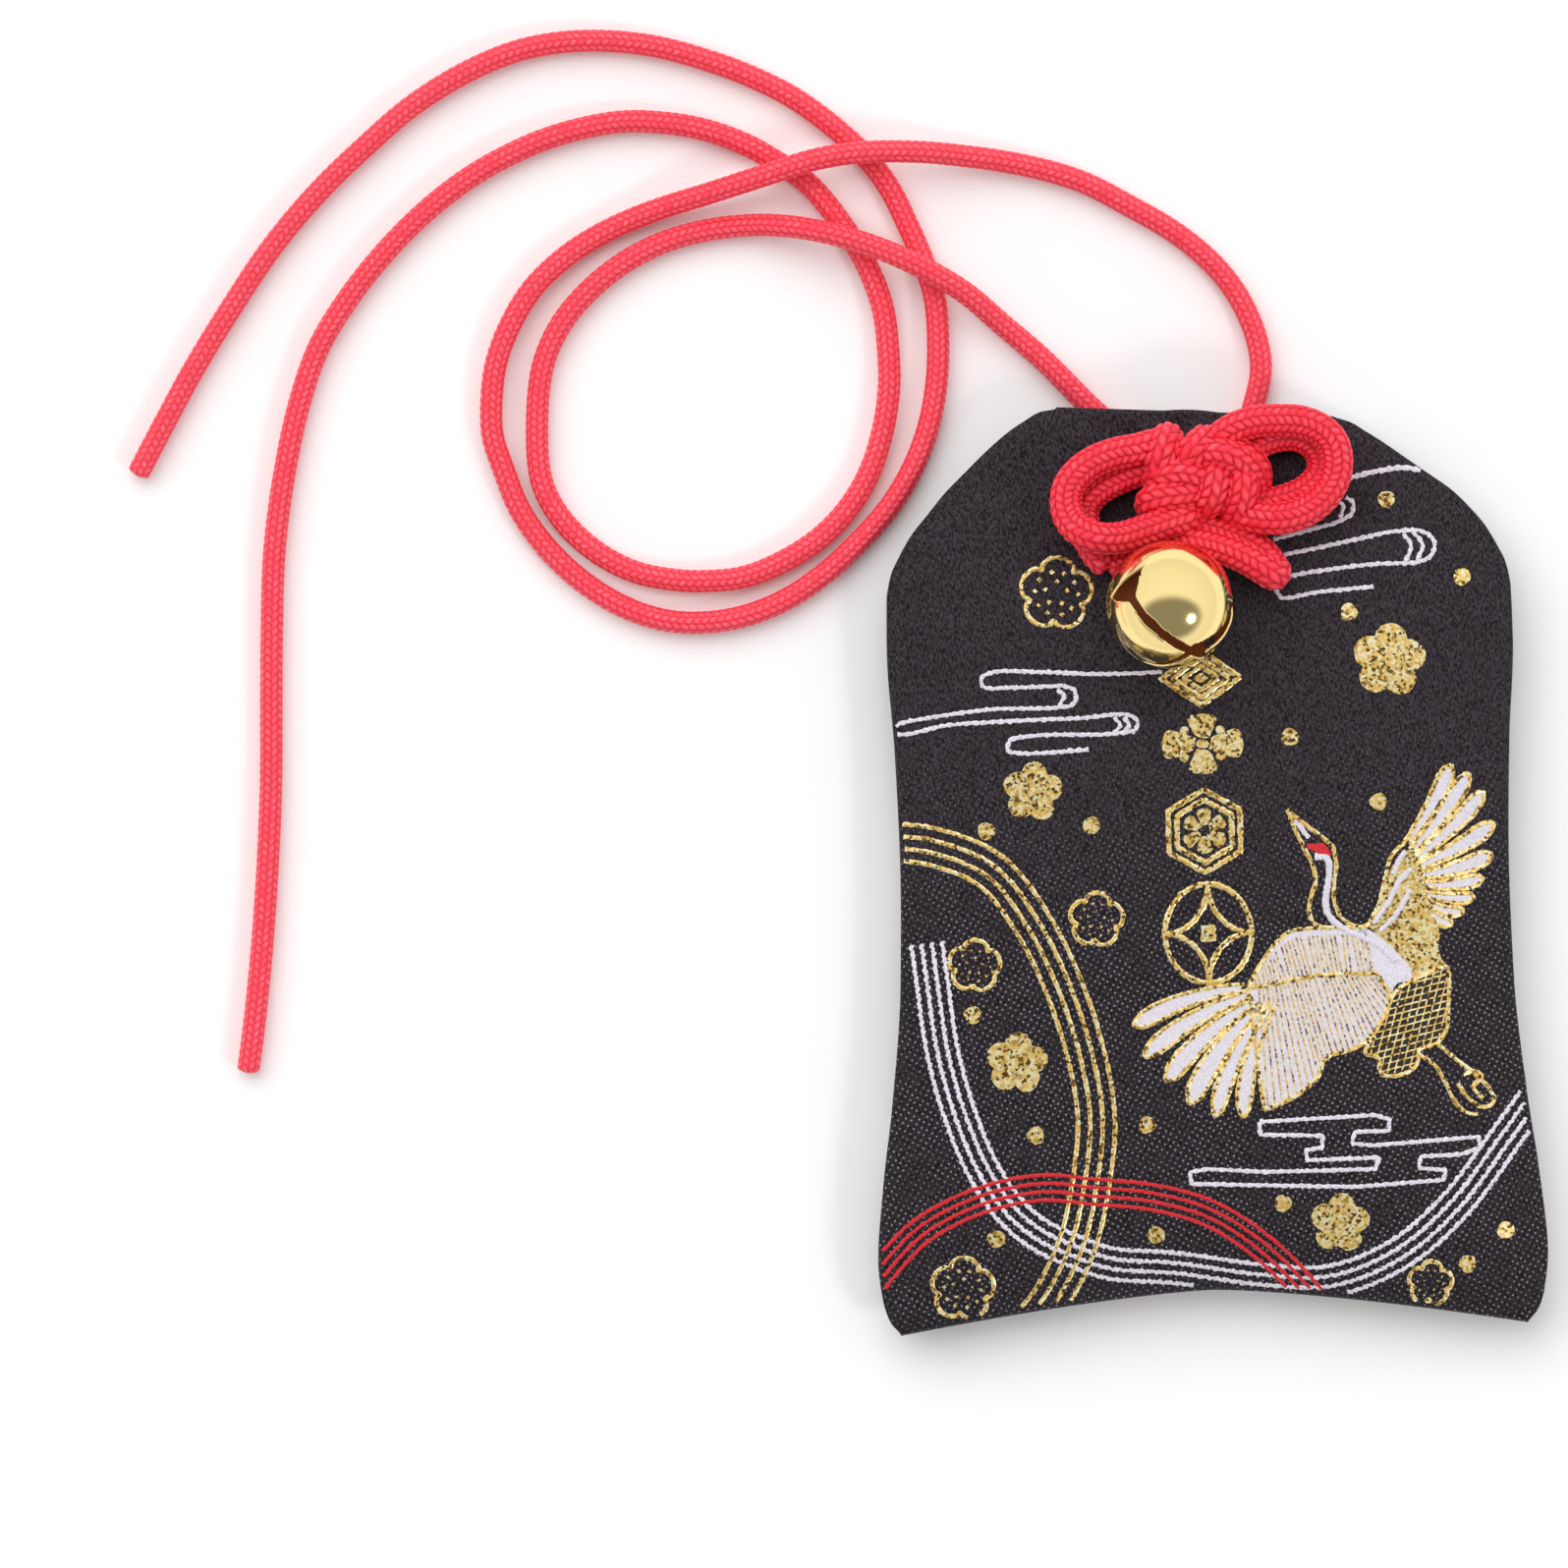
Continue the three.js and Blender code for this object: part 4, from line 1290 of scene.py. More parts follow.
def turn_of(corners: np.ndarray) -> float:
    """Tells which way a flat triangle turns."""
    (ax, ay), (bx, by) = corners[1] - corners[0], corners[2] - corners[0]
    return float(ax * by - ay * bx)


def beside(path: np.ndarray, offset: float) -> np.ndarray:
    """Moves a flat line to its right."""
    return path + offset * across_line(path)


def dot(centre: Point, radius: float) -> np.ndarray:
    """Gives a small round dot's edge."""
    return np.asarray(centre) + radius * toward(np.linspace(0, 360, 11)[:-1])


PETALS = 5


@dataclass(frozen=True)
class Blossom:
    """A five-petalled plum blossom."""

    centre: tuple[float, float]
    radius: float
    filled: bool
    turn: float
    rim: float = 0.94
    notch: tuple[float, float] = (0.74, 0.26)
    petal_out: tuple[float, float] = (0.58, 0.41)
    petal_side: tuple[float, float] = (0.43, 0.22)
    heart: float = 0.2
    stamen: float = 0.07
    stamens: Line = ((0.3, 0.0), (0.56, 16.0), (0.56, -16.0))

    def outline(self, scale: float = 1.0) -> np.ndarray:
        """Gives the blossom's edge.

        Args:
            scale: A share of its size.

        Returns:
            The edge's points, closed.
        """
        angle = np.linspace(0, 360, 61)
        inner, bulge = self.notch
        reach = self.radius * scale * (inner + bulge * np.abs(np.cos(np.radians(PETALS / 2 * angle))) ** 0.5)
        return np.asarray(self.centre) + reach[:, None] * toward(angle + self.turn)

    def petal(self, number: int) -> np.ndarray:
        """Gives one petal's edge.

        Args:
            number: Which petal, from 0 to 4.

        Returns:
            The edge's points.
        """
        around = np.linspace(0, 2 * math.pi, 19)[:-1]
        middle, reach = self.petal_out
        half, taper = self.petal_side
        out = self.radius * (middle + reach * np.cos(around))
        side = self.radius * half * np.sin(around) * (1 - taper * np.cos(around) * (np.cos(around) < 0))
        turn = self.turn + 360 / PETALS * number
        return np.asarray(self.centre) + out[:, None] * toward(turn) + side[:, None] * toward(turn + 90)

    def weave(self, gold: Weaving, thread: float, pale: Weaving) -> None:
        """Weaves the blossom.

        Args:
            gold: The weaving that it goes into.
            thread: The thread's width.
            pale: The weaving of its pale stamens.
        """
        if self.filled:
            for number in range(PETALS):
                gold.patch(self.petal(number))
            gold.patch(dot(self.centre, self.heart * self.radius))
        else:
            gold.line(self.outline(self.rim), thread)
        for number in range(PETALS):
            for reach, spread in self.stamens:
                turn = self.turn + 360 / PETALS * number + spread
                spot = np.asarray(self.centre) + reach * self.radius * toward(turn)
                (pale if self.filled else gold).patch(dot(spot, self.stamen * self.radius))


FEATHER_ROUND = 0.72
FEATHER_ROOT, FEATHER_RISE, FEATHER_FALL = 0.34, 0.9, 0.25


def leaf(base: Point, tip: Point, width: float, bow: float = 0.0) -> tuple[np.ndarray, np.ndarray]:
    """Makes a feather's two edges.

    Args:
        base: Where it starts.
        tip: Where it ends.
        width: Its greatest width.
        bow: How far its middle bends sideways.

    Returns:
        The two edges, each from the base to the tip.
    """
    base, tip = np.asarray(base, float), np.asarray(tip, float)
    along = tip - base
    across = np.array([along[1], -along[0]]) / np.linalg.norm(along)
    t = np.linspace(0, 1, 15)
    spine = base + t[:, None] * along + (bow * 4 * t * (1 - t))[:, None] * across
    rounding = np.clip((t - FEATHER_ROUND) / (1 - FEATHER_ROUND), 0, 1)
    swell = FEATHER_ROOT + FEATHER_RISE * t - FEATHER_FALL * t**2
    half = width / 2 * np.clip(swell, 0, 1) * np.sqrt(1 - rounding**2)
    return spine + half[:, None] * across, spine - half[:, None] * across


@dataclass(frozen=True)
class Crane:
    """A flying crane, an old good-luck figure: places are the photograph's pixels."""

    wing_top: Line = ((1392, 944), (1366, 944), (1338, 945), (1314, 948), (1299, 960), (1284, 980), (1270, 1004))
    wing_seam: Line = ((1270, 1005), (1290, 1003), (1314, 998), (1334, 994), (1364, 992), (1402, 991))
    quill_bases: Line = ((1268, 1005), (1273, 1012), (1278, 1019), (1284, 1023), (1290, 1023), (1296, 1021))
    quill_tips: Line = ((1154, 1044), (1165, 1075), (1187, 1100), (1211, 1123), (1237, 1136), (1265, 1137))
    quill_widths: Sequence[float] = (19, 20, 21, 22, 18, 17)
    quill_bow: float = 7
    small_tips: Line = (
        (1287, 1130), (1302, 1124), (1317, 1117), (1331, 1107), (1342, 1096), (1347, 1080), (1356, 1073),
        (1368, 1071), (1380, 1067), (1392, 1059), (1400, 1049), (1408, 1036), (1414, 1022), (1414, 1010),
    )
    body: Line = (
        (1356, 940), (1374, 943), (1392, 946), (1410, 955), (1426, 968), (1440, 984), (1440, 995), (1431, 999),
        (1421, 1001), (1417, 1011), (1408, 1009), (1400, 1001), (1390, 990), (1390, 972), (1386, 958), (1370, 949),
    )
    neck: Line = (
        (1338, 872), (1350, 873), (1353, 887), (1351, 903), (1349, 918), (1353, 932), (1363, 942), (1382, 952),
        (1404, 963), (1420, 978),
    )
    neck_back: Line = (
        (1357, 862), (1360, 880), (1358, 900), (1358, 916), (1364, 932), (1375, 941), (1388, 943), (1394, 939),
    )
    neck_front: Line = (
        (1310, 824), (1319, 846), (1329, 866), (1336, 880), (1339, 898), (1334, 914), (1333, 930), (1339, 941),
        (1354, 945),
    )
    head_top: Line = ((1310, 824), (1328, 839), (1346, 852), (1357, 862))
    beak: Line = ((1318, 834), (1332, 853))
    crown: Line = ((1330, 859), (1346, 858), (1352, 864), (1356, 871), (1344, 870), (1337, 866), (1331, 864))
    far_wing_edge: Line = (
        (1394, 939), (1404, 919), (1410, 894), (1416, 872), (1431, 855), (1446, 830), (1458, 805), (1466, 785),
        (1477, 778),
    )
    far_bases: Line = (
        (1432, 858), (1437, 866), (1441, 874), (1443, 882), (1445, 891), (1447, 900), (1449, 909), (1452, 918),
        (1456, 926),
    )
    far_tips: Line = (
        (1477, 779), (1495, 787), (1510, 806), (1520, 838), (1518, 870), (1509, 894), (1500, 913), (1489, 928),
        (1477, 941),
    )
    far_widths: Sequence[float] = (17, 17, 17, 18, 17, 14, 12, 11, 11)
    far_bow: float = 3
    shaft_width: float = 7
    neck_width: float = 8.5
    beak_width: float = 6
    mantle: Line = (
        (1392, 942), (1402, 926), (1409, 905), (1415, 885), (1428, 868), (1437, 862), (1446, 892), (1452, 914),
        (1460, 934), (1465, 948), (1464, 968), (1473, 986), (1455, 993), (1438, 995), (1434, 982), (1418, 965),
    )
    shafts: Sequence[Line] = (
        ((1398, 940), (1412, 920), (1425, 896), (1437, 884)),
        ((1418, 890), (1424, 876), (1431, 866)),
        ((1404, 948), (1420, 932), (1436, 905)),
    )
    tail: Line = (
        (1440, 996), (1472, 984), (1475, 1004), (1474, 1026), (1472, 1048), (1462, 1062), (1445, 1068),
        (1442, 1084), (1426, 1094), (1406, 1093), (1402, 1076), (1390, 1072), (1397, 1054), (1411, 1031),
        (1420, 1010),
    )
    legs: Sequence[Line] = (
        ((1442, 1071), (1461, 1085), (1471, 1101), (1480, 1120), (1492, 1132), (1505, 1134)),
        (
            (1463, 1062), (1482, 1078), (1500, 1092), (1516, 1108), (1521, 1121), (1510, 1127), (1494, 1117),
            (1484, 1102),
        ),
        ((1490, 1094), (1502, 1090), (1508, 1096), (1500, 1106), (1509, 1118)),
    )


@dataclass(frozen=True)
class Band:
    """A flowing band of four lines, with their pitch in pixels and how far their thread jumps at each pick."""

    thread: str
    pitch: float
    width: float
    jump: float
    middle: Line


@dataclass(frozen=True)
class Figures:
    """Everything woven into the pouch. Places are the photograph's pixels."""

    outline_blossoms: Sequence[tuple[Point, float]] = (
        ((1075, 604), 39), ((1116, 936), 29), ((992, 983), 28), ((980, 1312), 34), ((1456, 1306), 24),
    )
    filled_blossoms: Sequence[tuple[Point, float]] = (
        ((1414, 672), 38), ((1051, 806), 31), ((1035, 1082), 32), ((1364, 1245), 31),
    )
    specks: Line = (
        (1411, 508), (1488, 587), (1373, 623), (1313, 750), (1403, 816), (1004, 846), (1111, 840), (990, 1033),
        (1054, 1156), (1168, 1145), (1014, 1261), (1177, 1257), (1306, 1225), (1494, 1286), (1533, 1252),
    )
    speck_radius: float = 9.5
    bud_radius: float = 0.00045
    mist: Sequence[Line] = (
        ((1371, 487), (1405, 479), (1430, 476), (1446, 479)),
        ((1296, 549), (1330, 540), (1362, 531), (1376, 522), (1377, 511), (1370, 506)),
        ((1360, 509), (1367, 515), (1364, 527)),
        ((1300, 566), (1340, 558), (1380, 549), (1420, 541), (1448, 541), (1460, 552), (1456, 566), (1440, 573)),
        ((1440, 573), (1400, 574), (1350, 580), (1310, 588), (1299, 598), (1304, 608), (1340, 603), (1398, 597)),
        ((1428, 543), (1436, 555), (1430, 573)),
        ((1438, 541), (1448, 555), (1441, 572)),
        ((1183, 684), (1120, 686), (1060, 684), (1012, 684), (999, 690), (1001, 699), (1030, 700), (1082, 698)),
        ((1082, 698), (1094, 703), (1093, 716), (1076, 720), (1010, 722), (950, 730), (914, 738), (909, 748)),
        ((909, 748), (926, 747), (960, 739), (1030, 734), (1100, 731), (1150, 728), (1158, 735), (1155, 744)),
        ((1155, 744), (1130, 747), (1050, 749), (1028, 754), (1026, 764), (1044, 767), (1108, 763)),
        ((1076, 702), (1083, 708), (1078, 718)),
        ((1134, 730), (1140, 738), (1134, 746)),
        ((1144, 730), (1149, 738), (1143, 746)),
    )
    step_mist: Line = (
        (1282, 1142), (1399, 1135), (1414, 1139), (1414, 1151), (1379, 1152), (1376, 1164), (1396, 1166),
        (1505, 1157), (1507, 1168), (1487, 1175), (1446, 1177), (1444, 1189), (1472, 1191), (1469, 1201),
        (1378, 1208), (1213, 1205), (1211, 1193), (1229, 1190), (1288, 1193), (1400, 1190), (1404, 1178),
        (1331, 1181), (1329, 1171), (1346, 1168), (1346, 1156), (1283, 1155), (1282, 1142),
    )
    bands: Sequence[Band] = (
        Band("white", 10.5, 0.00046, 0.00018, (
            (943, 960), (950, 1010), (959, 1070), (977, 1135), (1000, 1190), (1028, 1232), (1061, 1259), (1095, 1274),
            (1129, 1286), (1197, 1291), (1287, 1303), (1355, 1304), (1423, 1277), (1480, 1228), (1532, 1159),
            (1560, 1120),
        )),
        Band("gold", 12.5, 0.0005, 0.0, (
            (908, 857), (950, 862), (1009, 887), (1054, 945), (1085, 1010), (1107, 1080), (1116, 1140), (1111, 1200),
            (1098, 1262), (1072, 1318), (1052, 1345),
        )),
        Band("red", 8.5, 0.00044, 0.00008, (
            (880, 1318), (905, 1286), (939, 1252), (998, 1222), (1061, 1209), (1111, 1213), (1174, 1219),
            (1233, 1236), (1288, 1272), (1333, 1318), (1350, 1340),
        )),
    )
    band_spacing: float = 0.0012
    blossom_turn: float = 84.0
    crests: Sequence[tuple[Point, Point]] = (
        ((1222, 690), (40, 28)), ((1224, 757), (42, 31)), ((1226, 846), (42, 42)), ((1230, 950), (44, 50)),
    )
    gold_thread: float = 0.0005
    white_thread: float = 0.00046
    white_ripple: float = 0.2
    stripe_thread: float = 0.0002
    wing_stripes: int = 27
    net_lean: float = 0.35
    net_lines: int = 17
    net_drop: float = 0.0006
    net_thread: float = 0.0002175
    crane: Crane = Crane()
    gold: MetalThread = MetalThread()
    white: SilkThread = SilkThread()
    satin: SilkThread = SilkThread(colour=(0.72, 0.68, 0.75), low_share=0.82)
    red: SilkThread = SilkThread(colour=(0.66, 0.012, 0.022))
    dark: Sewing = Sewing(slot="brocade", colour=(0.012, 0.010, 0.012))

    def build(self, pouch: Pouch, photo: PhotoFrame) -> None:
        """Weaves the front's figures, and the back's as the cloth carries them on."""
        for skin in Skin:
            Loom(self, pouch, photo, skin).weave()


@dataclass
class Loom:
    """Weaves the figures into one skin of the pouch."""

    figures: Figures
    pouch: Pouch
    photo: PhotoFrame
    skin: Skin

    def __post_init__(self) -> None:
        """Makes a weaving for each thread."""
        side = self.skin.name.lower()
        figures = self.figures
        self.threads = {
            name: Weaving(f"woven_{name}_{side}", self.pouch, finish, self.skin, lift)
            for name, finish, lift in (
                ("white", figures.white, 0.00005),
                ("gold", figures.gold, 0.00007),
                ("red", figures.red, 0.0001),
                ("satin", figures.satin, 0.00005),
                ("plumes", figures.satin, 0.00018),
                ("crane_gold", figures.gold, 0.00014),
                ("crests", figures.gold, 0.00007),
                ("shade", figures.dark, 0.00003),
            )
        }
        self.threads["white"].ripple = figures.white_ripple

    def flat(self, spots: Line) -> np.ndarray:
        """Turns pixels into places on the skin. On the back, the cloth's figures run on from the hem.

        Args:
            spots: Pixels, column and row.

        Returns:
            The places, in metres.
        """
        spots = np.asarray(spots, float).reshape(-1, 2)
        height = np.full(len(spots), self.photo.mid_height)
        for _ in range(3):
            x, y = self.photo.point(spots[:, 0], spots[:, 1], height)
            reach = self.pouch.length / 2
            source = np.clip(self.pouch.unlifted(x, np.clip(y, -reach, reach)), -reach, reach)
            height = self.pouch.front(np.clip(x, -self.pouch.half_width(source), self.pouch.half_width(source)), source)
        if self.skin is Skin.BACK:
            x, y = -x, y
        return np.column_stack([x, y])

    def size(self, pixels: float) -> float:
        """Turns a length in pixels into metres."""
        return pixels * self.photo.width / self.photo.pixels

    def weave(self) -> None:
        """Weaves every figure and joins each thread's work."""
        self.weave_bands()
        self.weave_mist()
        self.weave_blossoms()
        self.weave_crests()
        self.weave_crane()
        for thread in self.threads.values():
            thread.dress()

    def weave_bands(self) -> None:
        """Weaves the three flowing bands of four lines each."""
        for band in self.figures.bands:
            middle = smooth_line(self.flat(band.middle), self.figures.band_spacing)
            for place in (-1.5, -0.5, 0.5, 1.5):
                path = beside(middle, place * self.size(band.pitch))
                self.threads[band.thread].line(path, band.width, step=band.jump)

    def weave_mist(self) -> None:
        """Weaves the curling mist lines and the stepped mist."""
        figures = self.figures
        for curl in figures.mist:
            self.threads["white"].line(self.flat(curl), figures.white_thread, step=0.00008)
        self.threads["white"].line(self.flat(figures.step_mist), figures.white_thread, smooth=False, step=0.00005)

    def weave_blossoms(self) -> None:
        """Weaves the blossoms and the small gold specks."""
        figures = self.figures
        for filled, blossoms in ((False, figures.outline_blossoms), (True, figures.filled_blossoms)):
            for centre, radius in blossoms:
                blossom = Blossom(tuple(self.flat([centre])[0]), self.size(radius), filled, self.figures.blossom_turn)
                blossom.weave(self.threads["gold"], figures.gold_thread, self.threads["satin"])
        for speck in figures.specks:
            centre = self.flat([speck])[0]
            turn = np.linspace(0, 360, 25)[:-1]
            uneven = 0.94 + 0.06 * np.cos(np.radians(3 * turn) + centre[0] * 1000)
            self.threads["gold"].patch(centre + self.size(figures.speck_radius) * uneven[:, None] * toward(turn))

    def weave_crests(self) -> None:
        """Weaves the column of four plain crests: lozenge, flower lozenge, tortoiseshell and treasure ring."""
        gold, thread = self.threads["crests"], self.figures.gold_thread * 1.25
        lozenge, flower, shell, ring = [
            (self.flat([centre])[0], np.array([self.size(part) for part in half]))
            for centre, half in self.figures.crests
        ]

        def at(frame: tuple[np.ndarray, np.ndarray], scale: float, degrees: float | np.ndarray) -> np.ndarray:
            """Gives places at these angles round a crest's middle."""
            return frame[0] + scale * frame[1] * toward(degrees)

        def polygon(frame: tuple[np.ndarray, np.ndarray], sides: int, scale: float, turn: float) -> np.ndarray:
            """Gives an even shape's closed edge."""
            return at(frame, scale, np.linspace(0, 360, sides + 1) + turn)

        def petals(
            frame: tuple[np.ndarray, np.ndarray], turns: Iterable[float], reach: float, start: float, width: float
        ) -> None:
            """Weaves petals outwards from near a crest's middle.

            Args:
                frame: The crest's middle and half sizes.
                turns: Each petal's heading.
                reach: How far the tips lie, as a share of the half sizes.
                start: How far along the petals begin.
                width: The petals' width, as a share of the smaller half size.
            """
            for turn in turns:
                tip = at(frame, reach, turn)
                self.fill_leaf(gold, *leaf(frame[0] + start * (tip - frame[0]), tip, width * float(frame[1].min())))

        for scale in (1.0, 0.72, 0.44):
            gold.line(polygon(lozenge, 4, scale, 0), thread, smooth=False)
        gold.patch(polygon(lozenge, 4, 0.2, 0)[:-1])
        petals(flower, range(0, 360, 90), 1.0, 0.16, 1.1)
        gold.patch(polygon(flower, 10, 0.16, 0)[:-1])
        for turn in range(45, 360, 90):
            gold.patch(dot(at(flower, 0.62, turn), self.figures.bud_radius))
        for scale in (1.0, 0.76):
            gold.line(polygon(shell, 6, scale, 90), thread, smooth=False)
        petals(shell, range(90, 450, 60), 0.56, 0.2, 0.42)
        gold.line(polygon(ring, 48, 1.0, 0), thread)
        for turn in range(45, 360, 90):
            arc = math.sqrt(2) * toward(turn) + toward(np.linspace(turn + 135, turn + 225, 15))
            gold.line(ring[0] + ring[1] * arc, thread)
        gold.patch(polygon(ring, 4, 0.24, 45)[:-1])

    @staticmethod
    def fill_leaf(thread: Weaving, left: np.ndarray, right: np.ndarray) -> None:
        """Fills the shape between a leaf's two edges."""
        thread.patch(np.vstack([left, right[::-1][1:-1]]))

    def weave_crane(self) -> None:
        """Weaves the crane: satin feathers, each edged in metal thread."""
        self.weave_near_wing()
        self.weave_far_wing()
        self.weave_tail()
        self.weave_body()

    def feather(self, base: np.ndarray, tip: np.ndarray, width: float, bow: float = 0.0) -> None:
        """Weaves one satin feather with its metal edge.

        Args:
            base: Where it starts.
            tip: Where it ends.
            width: Its width.
            bow: How far it bends.
        """
        left, right = leaf(base, tip, width, bow)
        self.fill_leaf(self.threads["satin"], left, right)
        self.threads["crane_gold"].line(np.vstack([left, right[::-1][1:]]), self.figures.gold_thread)

    def weave_near_wing(self) -> None:
        """Weaves the near wing: striped coverts, small feathers and six quills."""
        crane = self.figures.crane
        satin, gold = self.threads["satin"], self.threads["crane_gold"]
        top, seam = smooth_line(self.flat(crane.wing_top), 0.0004), smooth_line(self.flat(crane.wing_seam), 0.0004)
        tips = self.flat(crane.small_tips)
        bases, ends = self.flat(crane.quill_bases), self.flat(crane.quill_tips)
        for base, tip, width in reversed(list(zip(bases, ends, crane.quill_widths))):
            self.feather(base, tip, self.size(width), self.size(crane.quill_bow))
        starts = seam[np.linspace(2, len(seam) - 1, len(tips)).astype(int)]
        satin.patch(np.vstack([seam, tips[::-1]]))
        rank = np.arange(len(tips))
        for share in np.linspace(0.02, 0.98, self.figures.wing_stripes):
            place = share * rank[-1]
            ends = [[np.interp(place, rank, row) for row in side.T] for side in (starts, tips)]
            gold.line(np.array(ends), self.figures.stripe_thread)
        satin.patch(np.vstack([top, seam[1:-1]]))
        for share in np.linspace(0.08, 0.97, self.figures.wing_stripes):
            low = seam[int(share * (len(seam) - 1))]
            high = top[int((1 - share) * (len(top) - 1))]
            gold.line(np.vstack([high + 0.16 * (low - high), low]), self.figures.stripe_thread)
        gold.line(top, self.figures.gold_thread)
        gold.line(seam, self.figures.gold_thread * 1.2)
        gold.line(np.vstack([seam[:1], tips, seam[-1:]]), self.figures.gold_thread, smooth=False)

    def weave_far_wing(self) -> None:
        """Weaves the raised far wing."""
        crane = self.figures.crane
        gold = self.threads["crane_gold"]
        bases, ends = self.flat(crane.far_bases), self.flat(crane.far_tips)
        for base, tip, width in reversed(list(zip(bases, ends, crane.far_widths))):
            self.feather(base, tip, self.size(width), self.size(crane.far_bow))
        self.threads["gold"].patch(self.flat(crane.mantle))
        for shaft in crane.shafts:
            self.threads["plumes"].line(self.flat(shaft), self.size(crane.shaft_width))
        gold.line(self.flat(crane.far_wing_edge), self.figures.gold_thread)

    def weave_tail(self) -> None:
        """Weaves the dark tail under its net of metal thread, and the legs."""
        figures, gold = self.figures, self.threads["crane_gold"]
        tail = self.flat(figures.crane.tail)
        self.threads["shade"].patch(tail)
        low, high = tail.min(0), tail.max(0)
        wide, tall = high - low
        for share in np.linspace(0.0, 1 + figures.net_lean, figures.net_lines):
            foot = low + np.array([(share - figures.net_lean) * wide, 0])
            self.cross(gold, np.array([foot, foot + np.array([figures.net_lean * wide, tall])]), tail)
            level = low[1] + share / (1 + figures.net_lean) * tall
            rising = [[low[0], level - figures.net_drop], [high[0], level + 2 * figures.net_drop]]
            self.cross(gold, np.array(rising), tail)
        gold.line(np.vstack([tail, tail[:1]]), figures.gold_thread)
        for leg in figures.crane.legs:
            gold.line(self.flat(leg), figures.gold_thread)

    def cross(self, gold: Weaving, ends: np.ndarray, shape: np.ndarray) -> None:
        """Lays a fine thread across a shape, only where it is inside.

        Args:
            gold: The thread's weaving.
            ends: The line's two ends.
            shape: The shape's points.
        """
        path = straight_line(ends, gold.grain)
        after = np.roll(shape, -1, axis=0)
        (x0, y0), (x1, y1) = shape.T[..., None], after.T[..., None]
        crosses = (y0 > path[:, 1]) != (y1 > path[:, 1])
        reach = (x1 - x0) * (path[:, 1] - y0) / np.where(crosses, y1 - y0, 1.0) + x0
        inside = np.count_nonzero(crosses & (path[:, 0] < reach), axis=0) % 2
        for stretch in stretches_of(inside, 3):
            gold.line(path[stretch], self.figures.net_thread, smooth=False)

    def weave_body(self) -> None:
        """Weaves the body, neck and head."""
        crane = self.figures.crane
        satin, gold = self.threads["satin"], self.threads["crane_gold"]
        satin.patch(self.flat(crane.body))
        self.threads["plumes"].line(self.flat(crane.neck), self.size(crane.neck_width))
        satin.line(self.flat(crane.beak), self.size(crane.beak_width))
        self.threads["red"].patch(self.flat(crane.crown))
        for edge in (crane.neck_back, crane.neck_front, crane.head_top):
            gold.line(self.flat(edge), self.figures.gold_thread)




